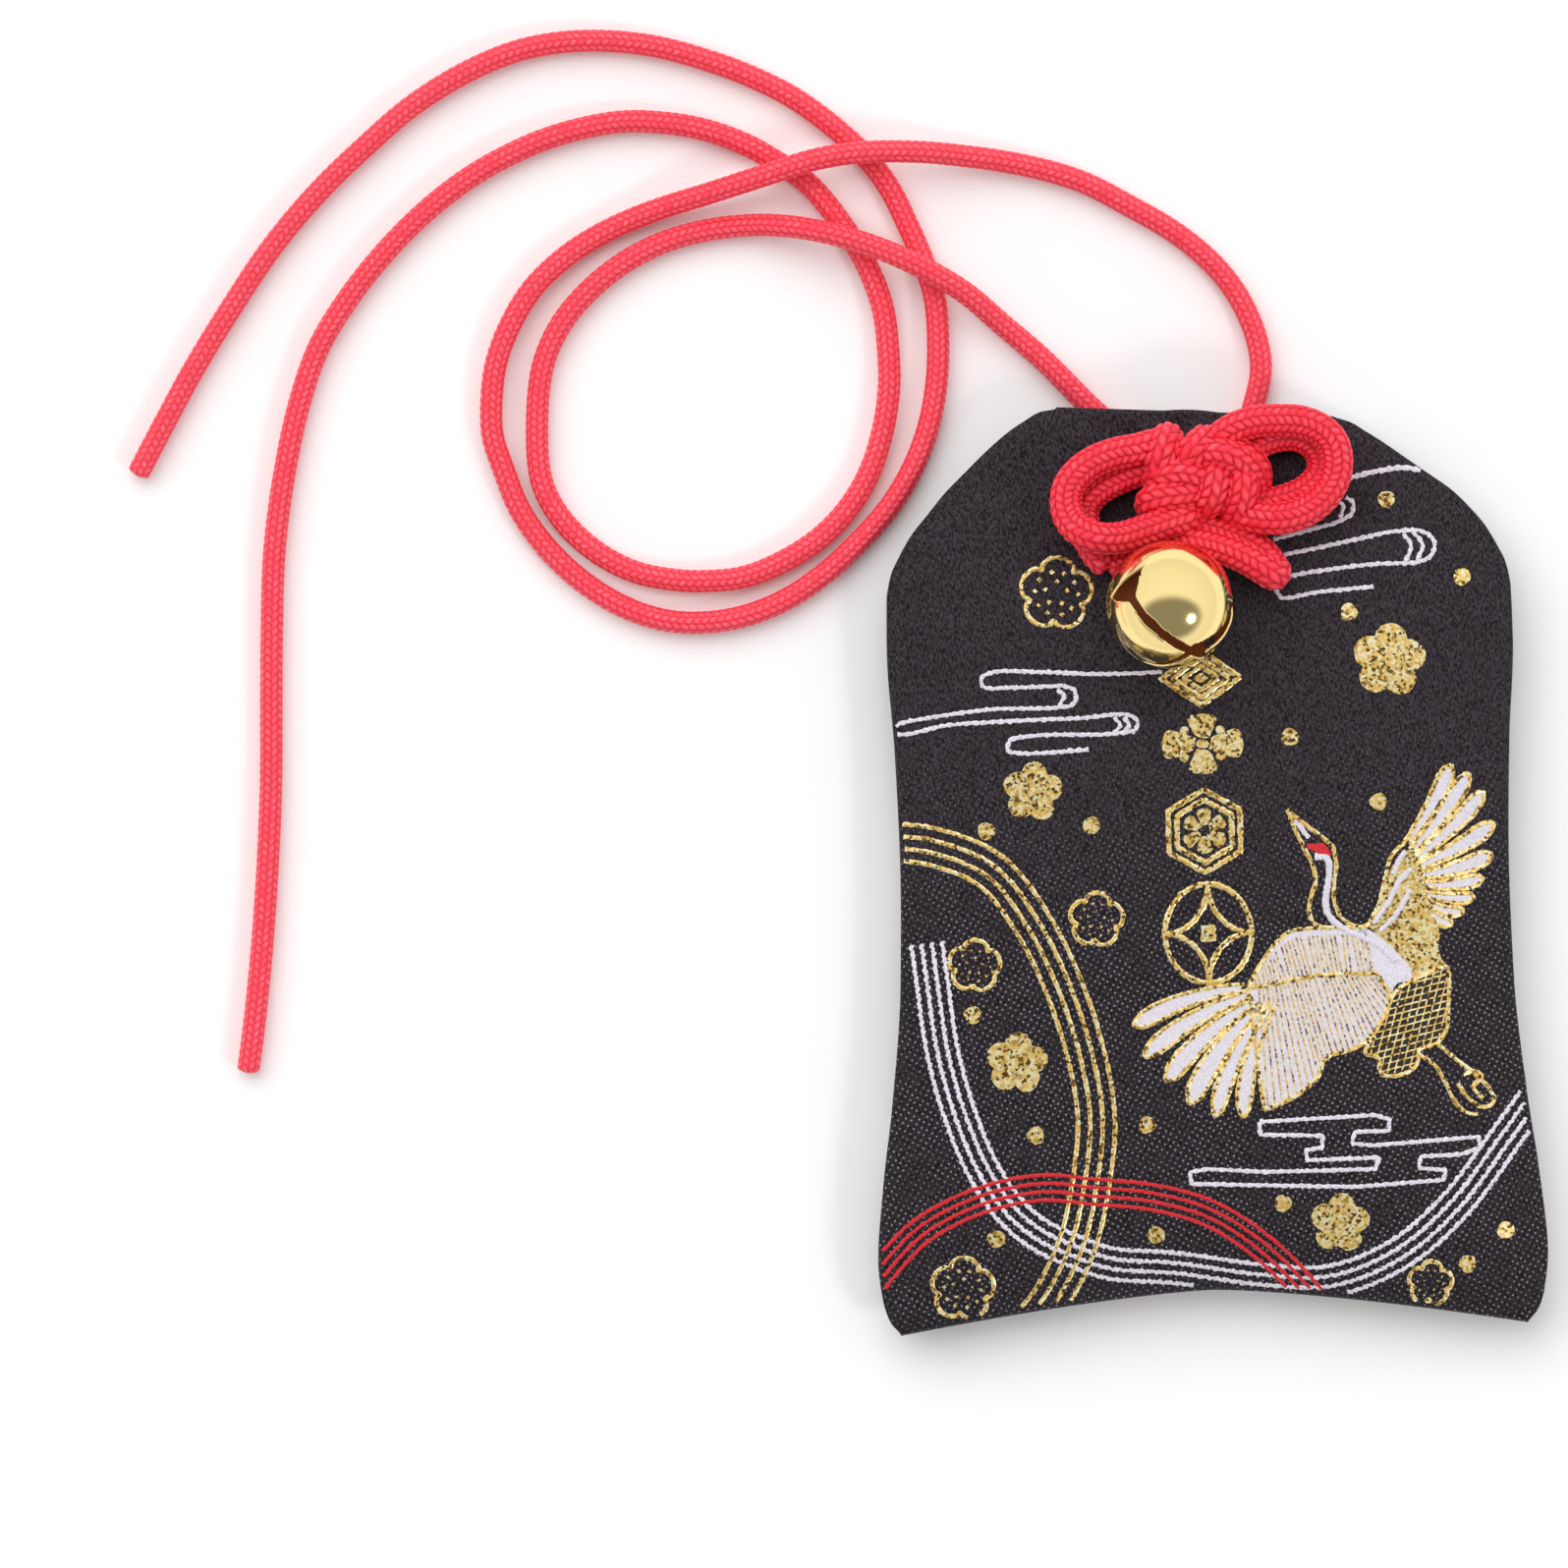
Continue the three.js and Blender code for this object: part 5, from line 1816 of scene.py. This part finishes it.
# Cords
@dataclass(frozen=True)
class HangingCord:
    """The doubled hanging cord: through the hole behind the bow, out at the back, coiled twice, two cut ends."""

    braid: Braid = Braid(
        diameter=0.0021, columns=10, pitch=0.00074, lean=0.62, relief=0.11, rings_each=5, sides_each=4
    )
    finish: BraidedCord = BraidedCord(
        slot="hanging_cord",
        colour=(0.93, 0.052, 0.088),
        # Painted shade for the braid's valleys, then painted highlight for its grain tops
        deep_colour=(0.68, 0.022, 0.045),
        light_colour=(1.0, 0.15, 0.19),
    )
    stopper_width: float = 0.0056
    stopper_thickness: float = 0.0022
    # Millimetres: where no height is given, the cord lies on the paper
    rest_height: float = 1.25
    left: Line = (
        (-7.4, 40.7), (-9.4, 42.5), (-13.8, 47.1), (-17.4, 50.3, 1.6), (-20.9, 53.3, 3), (-25.5, 56, 3.9),
        (-29.1, 57.6, 3.9), (-32.8, 58.8, 3.9), (-36.5, 59.6, 3), (-40.1, 59.9, 1.6), (-44, 59.6), (-48.1, 58.6),
        (-51.9, 56.8), (-55.3, 54.2), (-57.9, 51.2), (-59.6, 47.6), (-60.3, 42.4), (-60, 36.8), (-58.4, 33.5),
        (-55.5, 30.5), (-51.9, 28.4), (-48.2, 27.5), (-45, 27.3), (-41.6, 27.6), (-37.9, 29), (-34.5, 31.1),
        (-31.9, 33.7), (-29.9, 36.9), (-28.6, 40.6), (-27.9, 44.6), (-27.9, 48.3), (-28.3, 52), (-29.6, 55.8),
        (-31.7, 59.5), (-34.9, 63.6), (-37.8, 65.7), (-40.7, 67.4), (-44.4, 68.8), (-48, 69.5), (-51.7, 69.7),
        (-55.4, 69.2), (-59.1, 68.2), (-62.9, 66.6), (-66.6, 64.5), (-70.4, 61.6), (-74.1, 58), (-77.4, 54),
        (-80.2, 49.6), (-82.1, 44.5), (-83.6, 38.2), (-84.7, 31), (-85.1, 23.8), (-85.3, 16.6), (-85.5, 9.3),
        (-86.1, 0.3), (-86.8, -6.9), (-87.6, -13.2), (-88.2, -17),
    )
    right: Line = (
        (5.05, 40.9), (5.6, 42.4), (6.3, 45.3), (6.1, 48), (4.8, 51.6), (2.6, 54.9), (-0.9, 58.1), (-5.4, 60.9),
        (-9.9, 63.3), (-15.2, 64.9, 1.4), (-20.6, 65.8, 2.2), (-25.2, 66.2, 3.6), (-30.4, 66.2, 3.9),
        (-34.5, 65.6, 3.9), (-38.6, 64.4, 3.9), (-43.8, 62.9, 3), (-49.5, 61.3, 1.6), (-53.7, 59.6), (-57.2, 57.5),
        (-60.4, 54.6), (-62.6, 51.2), (-64, 47.6), (-64.5, 43.6), (-64.4, 41), (-63.5, 38), (-62.1, 34.3),
        (-59.6, 30.6), (-56.3, 27.4), (-52.7, 25.1), (-49, 23.8), (-45.5, 23.5), (-41.7, 24), (-37.9, 25.4),
        (-34.4, 27.6), (-31.3, 30.3), (-28.2, 33.6), (-25.9, 37.2), (-24.4, 40.9), (-23.6, 44.5), (-23.3, 48.2),
        (-23.5, 52.7), (-24.4, 56), (-25.8, 59.5), (-27.5, 63.1), (-29.7, 66.1), (-32.6, 68.9), (-36.2, 71.6),
        (-39.8, 73.5), (-43.5, 75), (-49, 76.6), (-55, 77.2), (-60.6, 76.6), (-65.6, 74.8), (-71.1, 71.6),
        (-75.7, 67.8), (-79.9, 63.9), (-84.3, 58.9), (-88.3, 53.2), (-91.7, 47.9), (-94.5, 43), (-97.2, 38.1),
    )
    neck_left: Line = (
        (-1.6, 36, 6.1), (-1.6, 36, 4), (-1.9, 36.3, 2.4), (-3.2, 37.3, 1.45), (-5, 38.7, 1.3), (-7, 40.3),
    )
    neck_right: Line = (
        (0.8, 36, 6.1), (0.8, 36, 4), (1.1, 36.3, 2.4), (2.1, 37.3, 1.45), (3.4, 38.7, 1.3), (4.7, 40.2),
    )

    def route(self, points: Line) -> np.ndarray:
        """Turns a route's millimetres into metres, with the rest height where none is given."""
        return MILLIMETRE * np.array([(*point, self.rest_height)[:3] for point in points])

    def build(self) -> None:
        """Builds both halves, each from the stopper to its cut end, and the stopper knot."""
        for side, inner, outer in (("left", self.neck_left, self.left), ("right", self.neck_right, self.right)):
            name = f"hanging_cord_{side}"
            neck, route = self.route(inner), self.route(outer)
            piece, line = self.braid.build(f"{name}_braid", (*neck[:-1], *route))
            self.finish.dress(piece, "charm", name, f"hanging_cord_neck_{side}")
            free = smooth_line(route, self.braid.pitch)
            start = line[np.linalg.norm(line - free[0], axis=1).argmin()]
            LOG.info("%s: %.1f mm free, %.1f mm in all", name, 1000 * line_length(free), 1000 * line_length(line))
        self.build_stopper()

    def build_stopper(self) -> None:
        """Builds the knot that stops the cord, two crossing turns of the same braid."""
        low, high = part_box("hanging_cord_stopper")
        middle = (low + high) / 2
        reach = (self.stopper_width - self.braid.diameter) / 2
        rise = (self.stopper_thickness - self.braid.diameter) / 2
        turns = np.linspace(0, 2.2 * math.pi, 12)
        route = [
            (middle.x + reach * math.cos(turn), middle.y + reach * math.sin(turn), middle.z + rise * math.cos(2 * turn))
            for turn in turns
        ]
        piece, _ = self.braid.build("hanging_cord_stopper_knot", route)
        self.finish.dress(piece, "charm", "hanging_cord_stopper")


@dataclass(frozen=True)
class Bow:
    """The ornamental bow, one braided cord, built in the stretches that show between its crossings."""

    braid: Braid = Braid(diameter=0.00302, columns=10, pitch=0.00074, lean=0.62, relief=0.15, rings_each=7)
    strand_braid: Braid = Braid(diameter=0.00242, columns=10, pitch=0.0007, lean=0.62, relief=0.15, rings_each=7)
    finish: BraidedCord = BraidedCord()
    squeeze: float = 0.73
    squeeze_reach: float = 0.34
    # Pixel column, pixel row, height above the paper in millimetres
    stretches: dict[str, Sequence[Line]] = field(default_factory=lambda: {
        "bow_loop_left_outer": [[
            (1183, 451, 9.1), (1172, 453, 9.9), (1158, 457, 10.2), (1137, 461, 10.3), (1115, 469, 10.4),
            (1098, 481, 10.5), (1087, 497, 10.6), (1085, 514, 10.8), (1090, 530, 11.2), (1101, 541, 11.8),
            (1118, 547.5, 12.2), (1140, 547.5, 11.8), (1161, 541.5, 11.4), (1181, 534.5, 11.1), (1195, 529.5, 10.7),
            (1205, 526, 10.2), (1212, 521, 8.9),
        ]],
        "bow_loop_left_inner": [[
            (1190, 472, 8.2), (1178, 475, 8.5), (1163, 478.5, 8.5), (1144, 485, 8.3), (1126, 493.5, 8.2),
            (1112, 504, 8.2), (1104, 516, 8.2), (1103, 529, 8.4), (1106, 542, 8.7), (1112, 556, 9.1),
            (1121, 568, 9.3), (1131, 575, 9.3),
        ]],
        "bow_loop_right_outer": [[
            (1236, 449, 9.0), (1245, 443, 9.7), (1258, 435, 10), (1278, 429, 10.1), (1301, 427.5, 10.1),
            (1325, 429, 10.1), (1344, 437, 10.1), (1357, 451, 10.1), (1361, 469, 10.1), (1358, 488, 10.2),
            (1347, 506, 10.4), (1329, 520, 10.6), (1308, 527, 10.8), (1287, 527.5, 10.7), (1270, 524, 10.2),
            (1256, 519, 9.2),
        ]],
        "bow_loop_right_inner": [[
            (1262, 464, 8.0), (1273, 456, 8.0), (1287, 448, 7.9), (1303, 443.5, 7.8), (1320, 443.5, 7.8),
            (1336, 451, 7.8), (1345, 465, 7.8), (1345, 481, 7.9), (1335, 495, 8.1), (1319, 505, 8.2),
            (1300, 511, 8.4), (1281, 514, 8.4), (1262, 515, 8.2),
        ]],
        "bow_tail_loop": [[
            (1194, 549, 8.9), (1203, 550.5, 9.2), (1216, 552, 9.6), (1234, 555.5, 10.1), (1254, 562, 10.8),
            (1271, 570, 11.2), (1285, 578.5, 11.3), (1293, 583.5, 11), (1297.5, 584, 10.2), (1297.5, 580, 9.5),
            (1293, 573, 9.1), (1283, 561.5, 8.9), (1266, 551, 8.8), (1246, 543, 8.6), (1226, 537, 8.5),
            (1206, 533, 8.4),
        ]],
        "bow_knot_top": [[
            (1188, 452, 7.2), (1188.5, 446.5, 8.1), (1188.5, 446.5, 9.4), (1187, 450.5, 10.4), (1184, 459, 10.9),
            (1181, 468, 10.8), (1180.6, 478, 10), (1180.6, 487, 8.9),
        ], [
            (1223, 454, 7.2), (1225, 449, 8.1), (1224.5, 449, 9.4), (1220, 453, 10.4), (1213.5, 460, 10.9),
            (1208, 468.5, 10.7), (1206.5, 478, 9.9), (1206, 487, 8.8),
        ]],
        "bow_knot_left": [[
            (1185, 488.5, 7.6), (1179, 487.5, 8.6), (1179, 486.5, 9.8), (1184, 485, 10.6), (1192, 483, 11),
            (1200, 482, 11.1), (1212, 484, 10.9), (1223, 489, 10.2), (1232, 496, 9.2),
        ], [
            (1179, 520, 7.4), (1172.5, 516.5, 8.3), (1171, 512, 9.5), (1175, 508.5, 10.5), (1184, 505.5, 11),
            (1194, 504, 11.1), (1206, 502.5, 10.7), (1217, 500.5, 9.9), (1227, 499, 8.9),
        ]],
        "bow_knot_bottom": [[
            (1229, 504, 7.4), (1227, 511, 8.4), (1228, 513, 9.6), (1231, 509, 10.5), (1235, 501, 11),
            (1237, 491, 11.1), (1238.5, 481, 10.6), (1240, 472, 9.8), (1241, 464, 8.9),
        ], [
            (1256, 511, 7.4), (1255, 518, 8.4), (1256.5, 519.5, 9.6), (1260, 514.5, 10.5), (1263.5, 506, 11),
            (1265, 496, 11.1), (1264.5, 486, 10.6), (1262, 476, 9.8), (1259, 467, 8.9),
        ]],
        "bow_knot_right": [[
            (1210, 468, 8.9), (1220, 465, 9.8), (1231, 463, 10.6), (1243, 462.5, 11.1), (1255, 466, 11.2),
            (1265, 474, 10.8), (1271, 484, 10), (1273, 494, 8.8), (1271, 502, 7.5),
        ], [
            (1224, 459, 8.2), (1236, 458.5, 8.8), (1248, 458.5, 9.3), (1260, 460.5, 9.5), (1270, 466.5, 9.4),
            (1277, 476, 8.9), (1279, 487, 8.2), (1278, 497, 7.4),
        ]],
    })
    strand: Line = (
        (-8.5, 27.7, 9.2), (-6.6, 28.2, 9.3), (-4.5, 28.9, 9.4), (-2.9, 29.4, 9.4), (-2.2, 29.6, 9.4),
    )

    def build(self, photo: PhotoFrame) -> None:
        """Builds each stretch of the bow where the photograph shows it, and the strand that holds the bell.

        Args:
            photo: The photograph's frame.
        """
        for node, routes in self.stretches.items():
            pieces = []
            for route in routes:
                places = [(across, down, MILLIMETRE * up) for across, down, up in route]
                spots = [(*photo.point(*place), place[2]) for place in places]
                pieces.append(self.braid.build(f"{node}_braid", spots)[0])
            select_only(*pieces)
            if len(pieces) > 1:
                bpy.ops.object.join()
            self.finish.dress(pieces[0], "charm", node)
        strand = MILLIMETRE * np.array(self.strand)
        piece, _ = self.strand_braid.build("bell_strand_braid", strand, widen=self.squeezed)
        self.finish.dress(piece, "bell_hanger", "bell_strand")

    def squeezed(self, share: np.ndarray) -> np.ndarray:
        """Narrows the strand where it passes through the bell's eye."""
        near = np.clip(1 - np.abs(share - 0.5) / self.squeeze_reach, 0, 1)
        return 1 - (1 - self.squeeze) * near * near * (3 - 2 * near)


@dataclass(frozen=True)
class Bell:
    """The gilt jingle bell: four petals round its open slits, the wire eye that it hangs by and the ball inside."""

    metal: Metal = Metal()
    # Painted shade: the hollow seen through the slits gets a dull dark brown in place of the shade inside the bell
    inside: Metal = Metal(colour=(0.50, 0.15, 0.04), roughness=0.8, metallic=0.25)
    steel: Metal = Metal(slot="steel", colour=(0.56, 0.57, 0.58), roughness=0.3)
    centre: Point = (-0.003, 0.024, 0.0142)
    radius: float = 0.0058
    wall: float = 0.0003
    lip: float = 0.00017
    segments: int = 128
    rows: int = 64
    pole_lift: float = math.radians(35)
    pole_heading: float = math.radians(-68)
    # Each slit's heading round the pole and half its width
    arms: Sequence[tuple[float, float]] = (
        (math.radians(146.5), 0.0006), (math.radians(10), 0.0010), (math.radians(-44), 0.0006),
        (math.radians(-132), 0.0006),
    )
    flare_half: float = 0.0026
    flare_start: float = math.radians(79)
    flare_end: float = math.radians(103)
    merge: float = 0.00002
    crease: float = math.radians(35)
    eye_lift: float = math.radians(-43.5)
    eye_heading: float = math.radians(107)
    strand_heading: float = math.radians(18)
    eye_wire: float = 0.0006
    eye_radius: float = 0.00155
    eye_reach: float = 0.00705
    foot_reach: float = 0.0048
    ball: float = 0.003
    ball_clearance: float = 0.0003
    ball_rows: int = 24
    cad_wall: float = 0.0004

    def build(self) -> None:
        """Builds the shell, its rolled lips, the eye and the ball."""
        select_only()
        bpy.ops.mesh.primitive_uv_sphere_add(segments=self.segments, ring_count=self.rows, radius=self.radius)
        shell = bpy.context.object
        shell.name = "bell_shell_petals"
        switch("EDIT")
        for heading, half in self.arms:
            self.score(heading, half)
        switch("OBJECT")
        self.open_slits(shell)
        lips = self.build_lips(shell)
        modify(shell, "SOLIDIFY", thickness=self.wall, offset=-1)
        bpy.ops.object.shade_smooth_by_angle(angle=self.crease)
        self.place(shell)
        self.place(lips)
        self.metal.dress(shell, "bell", "bell_shell")
        # The inner faces get the painted shade of the hollow
        shell.data.materials.append(self.inside.material())
        for face in shell.data.polygons:
            reach = (face.center - Vector(self.centre)).length
            face.material_index = int(reach < self.radius - self.wall / 2)
        self.metal.dress(lips, "bell")
        self.build_eye()
        self.build_ball()

    @staticmethod
    def direction(lift: float, heading: float) -> Vector:
        """Gives the direction at a heading, lifted from the level."""
        level = math.cos(lift)
        return Vector((level * math.cos(heading), level * math.sin(heading), math.sin(lift)))

    def flare_normals(self, heading: float, slit_half: float) -> list[Vector]:
        """Finds the two planes that bound a slit's flare.

        Args:
            heading: The slit's heading.
            slit_half: Half the slit's width.

        Returns:
            Their normals, pointing out of the flare.
        """
        turn = Matrix.Rotation(heading, 3, "Z")
        normals = []
        for side in (-1, 1):
            corners = []
            for angle, half in ((self.flare_start, slit_half), (self.flare_end, self.flare_half)):
                reach = self.radius * math.sin(angle)
                along = math.sqrt(reach * reach - half * half)
                corners.append(turn @ Vector((along, side * half, self.radius * math.cos(angle))))
            normals.append((side * corners[0].cross(corners[1])).normalized())
        return normals

    def score(self, heading: float, slit_half: float) -> None:
        """Cuts edges into the sphere along a slit's sides, its flare's sides and its end.

        Args:
            heading: The slit's heading.
            slit_half: Half the slit's width.
        """
        across = Matrix.Rotation(heading, 3, "Z") @ Vector((0, 1, 0))
        planes = [(side * slit_half * across, across) for side in (-1, 1)]
        planes += [(Vector(), normal) for normal in self.flare_normals(heading, slit_half)]
        planes.append((Vector((0, 0, self.radius * math.cos(self.flare_end))), Vector((0, 0, 1))))
        for place, normal in planes:
            bpy.ops.mesh.select_all(action="SELECT")
            bpy.ops.mesh.bisect(plane_co=place, plane_no=normal)

    def in_slit(self, spot: Vector) -> bool:
        """Tells whether a spot of the sphere is in a slit or its flare.

        Args:
            spot: The spot, from the bell's centre.

        Returns:
            Whether it is open there.
        """
        if spot.z < self.radius * math.cos(self.flare_end):
            return False
        for heading, slit_half in self.arms:
            turned = Matrix.Rotation(-heading, 3, "Z") @ spot
            if turned.x <= 0:
                continue
            flared = spot.z < self.radius * math.cos(self.flare_start)
            if flared and all(normal.dot(spot) < 0 for normal in self.flare_normals(heading, slit_half)):
                return True
            if abs(turned.y) < slit_half:
                return True
        return False

    def open_slits(self, shell: bpy.types.Object) -> None:
        """Deletes the faces in the slits and welds the slivers that scoring leaves.

        Args:
            shell: The scored sphere.
        """
        for face in shell.data.polygons:
            face.select = self.in_slit(face.center)
        switch("EDIT")
        bpy.ops.mesh.select_mode(type="FACE")
        bpy.ops.mesh.delete(type="FACE")
        bpy.ops.mesh.select_all(action="SELECT")
        bpy.ops.mesh.remove_doubles(threshold=self.merge)
        switch("OBJECT")

    def build_lips(self, shell: bpy.types.Object) -> bpy.types.Object:
        """Rolls a rounded lip along every open edge.

        Args:
            shell: The opened sphere.

        Returns:
            The lips.
        """
        select_only(shell)
        bpy.ops.object.duplicate()
        lips = bpy.context.object
        lips.name = "bell_shell_lips"
        switch("EDIT")
        bpy.ops.mesh.select_mode(type="EDGE")
        bpy.ops.mesh.select_all(action="DESELECT")
        bpy.ops.mesh.select_non_manifold()
        bpy.ops.mesh.select_all(action="INVERT")
        bpy.ops.mesh.delete(type="EDGE")
        bpy.ops.mesh.select_all(action="SELECT")
        bpy.ops.transform.resize(value=(1 - self.lip / self.radius,) * 3, center_override=(0, 0, 0))
        switch("OBJECT")
        bpy.ops.object.convert(target="CURVE")
        lips.data.bevel_depth = self.lip
        lips.data.bevel_resolution = 3
        bpy.ops.object.convert(target="MESH")
        bpy.ops.object.shade_smooth()
        return lips

    def place(self, piece: bpy.types.Object) -> None:
        """Turns a piece's pole to the bell's and moves it to the bell's centre.

        Args:
            piece: The piece, built upright round the origin.
        """
        pole = self.direction(self.pole_lift, self.pole_heading)
        turn = Vector((0, 0, 1)).rotation_difference(pole).to_matrix().to_4x4()
        piece.data.transform(Matrix.Translation(self.centre) @ turn)

    def build_eye(self) -> None:
        """Bends the wire eye, whose feet stand in the shell."""
        axis = self.direction(self.eye_lift, self.eye_heading)
        side = self.direction(0, self.strand_heading).cross(axis).normalized()
        middle = Vector(self.centre)
        feet = [middle + axis * self.foot_reach + sign * self.eye_radius * side for sign in (1, -1)]
        arch = [
            middle + self.eye_reach * axis + self.eye_radius * (math.sin(turn) * axis + math.cos(turn) * side)
            for turn in np.linspace(0, math.pi, 9)
        ]
        spots = [feet[0], *arch, feet[1]]
        eye = thin_tube("bell_eye_wire", smooth_line(spots, self.eye_wire / 4), self.eye_wire / 2, 16)
        self.metal.dress(eye, "bell", "bell_eye")

    def build_ball(self) -> None:
        """Turns the steel ball, with the faint band that its rolling leaves."""
        drop = self.radius - self.cad_wall - self.ball_clearance - self.ball / 2
        x, y, z = self.centre
        select_only()
        bpy.ops.mesh.primitive_uv_sphere_add(
            segments=2 * self.ball_rows, ring_count=self.ball_rows, radius=self.ball / 2, location=(x, y, z - drop)
        )
        ball = bpy.context.object
        ball.name = "bell_pellet_ball"
        bpy.ops.object.transform_apply()
        band = self.ball / self.ball_rows
        for face in ball.data.polygons:
            face.select = abs(face.center.z - z + drop) < band
        switch("EDIT")
        bpy.ops.mesh.select_mode(type="FACE")
        bpy.ops.mesh.inset(thickness=band / 3, use_outset=False)
        bpy.ops.transform.shrink_fatten(value=-band / 8)
        switch("OBJECT")
        bpy.ops.object.shade_smooth()
        self.steel.dress(ball, "pellet", "bell_pellet")


@dataclass(frozen=True)
class Fillings:
    """What the pouch holds: two layers of wadding, a card, the wooden tablet and its paper sleeve."""

    wadding: Fibrous = Fibrous(slot="wadding", colour=(0.83, 0.82, 0.78), roughness=0.95, scale=900.0, low_share=0.86)
    card: Fibrous = Fibrous(slot="card", colour=(0.46, 0.33, 0.18), scale=1300.0, low_share=0.82)
    wood: Fibrous = Fibrous(
        slot="wood", colour=(0.62, 0.43, 0.22), roughness=0.7, streaks=(9.0, 0.5, 9.0), scale=260.0, low_share=0.7
    )
    paper: Fibrous = Fibrous(slot="paper", colour=(0.87, 0.85, 0.79), roughness=0.9, scale=1600.0, low_share=0.93)
    voxel: float = 0.0005
    smoothing: int = 12
    tuft_size: float = 0.0016
    tuft_height: float = 0.0001
    fill: float = 0.4

    def build(self) -> None:
        """Dresses the hard fillings and fluffs up the wadding."""
        for node, finish in (
            ("stiffener_card", self.card), ("amulet_tablet", self.wood), ("amulet_wrapper", self.paper),
        ):
            piece = bpy.data.objects[node]
            piece.material_slots[0].material = finish.material()
        for side in ("front", "back"):
            self.build_wadding(side)

    def build_wadding(self, side: str) -> None:
        """Builds one layer of wadding, rounded and a little tufted.

        Args:
            side: Which layer: front or back.
        """
        node = f"padding_{side}"
        piece = put(f"{node}_wadding", bpy.data.objects[node].data.copy())
        pattern = bpy.data.textures.new(f"{node}_tufts", "CLOUDS")
        pattern.noise_scale = self.tuft_size
        modify(piece, "REMESH", mode="VOXEL", voxel_size=self.voxel)
        modify(piece, "SMOOTH", iterations=self.smoothing)
        modify(piece, "DISPLACE", texture=pattern, strength=self.tuft_height, mid_level=1.0)
        bpy.ops.object.shade_smooth()
        self.wadding.dress(piece, "charm", node)


def main() -> None:
    """Builds the whole scene."""
    logging.basicConfig(level=logging.INFO, format="%(message)s")
    select_only()
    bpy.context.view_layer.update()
    photo = PhotoFrame()
    photo.make_camera()
    HangingCord().build()
    pouch = Pouch()
    pouch.build()
    Figures().build(pouch, photo)
    Bow().build(photo)
    Bell().build()
    Fillings().build()
    Stage().build()


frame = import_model()

if __name__ == "__main__":
    main()
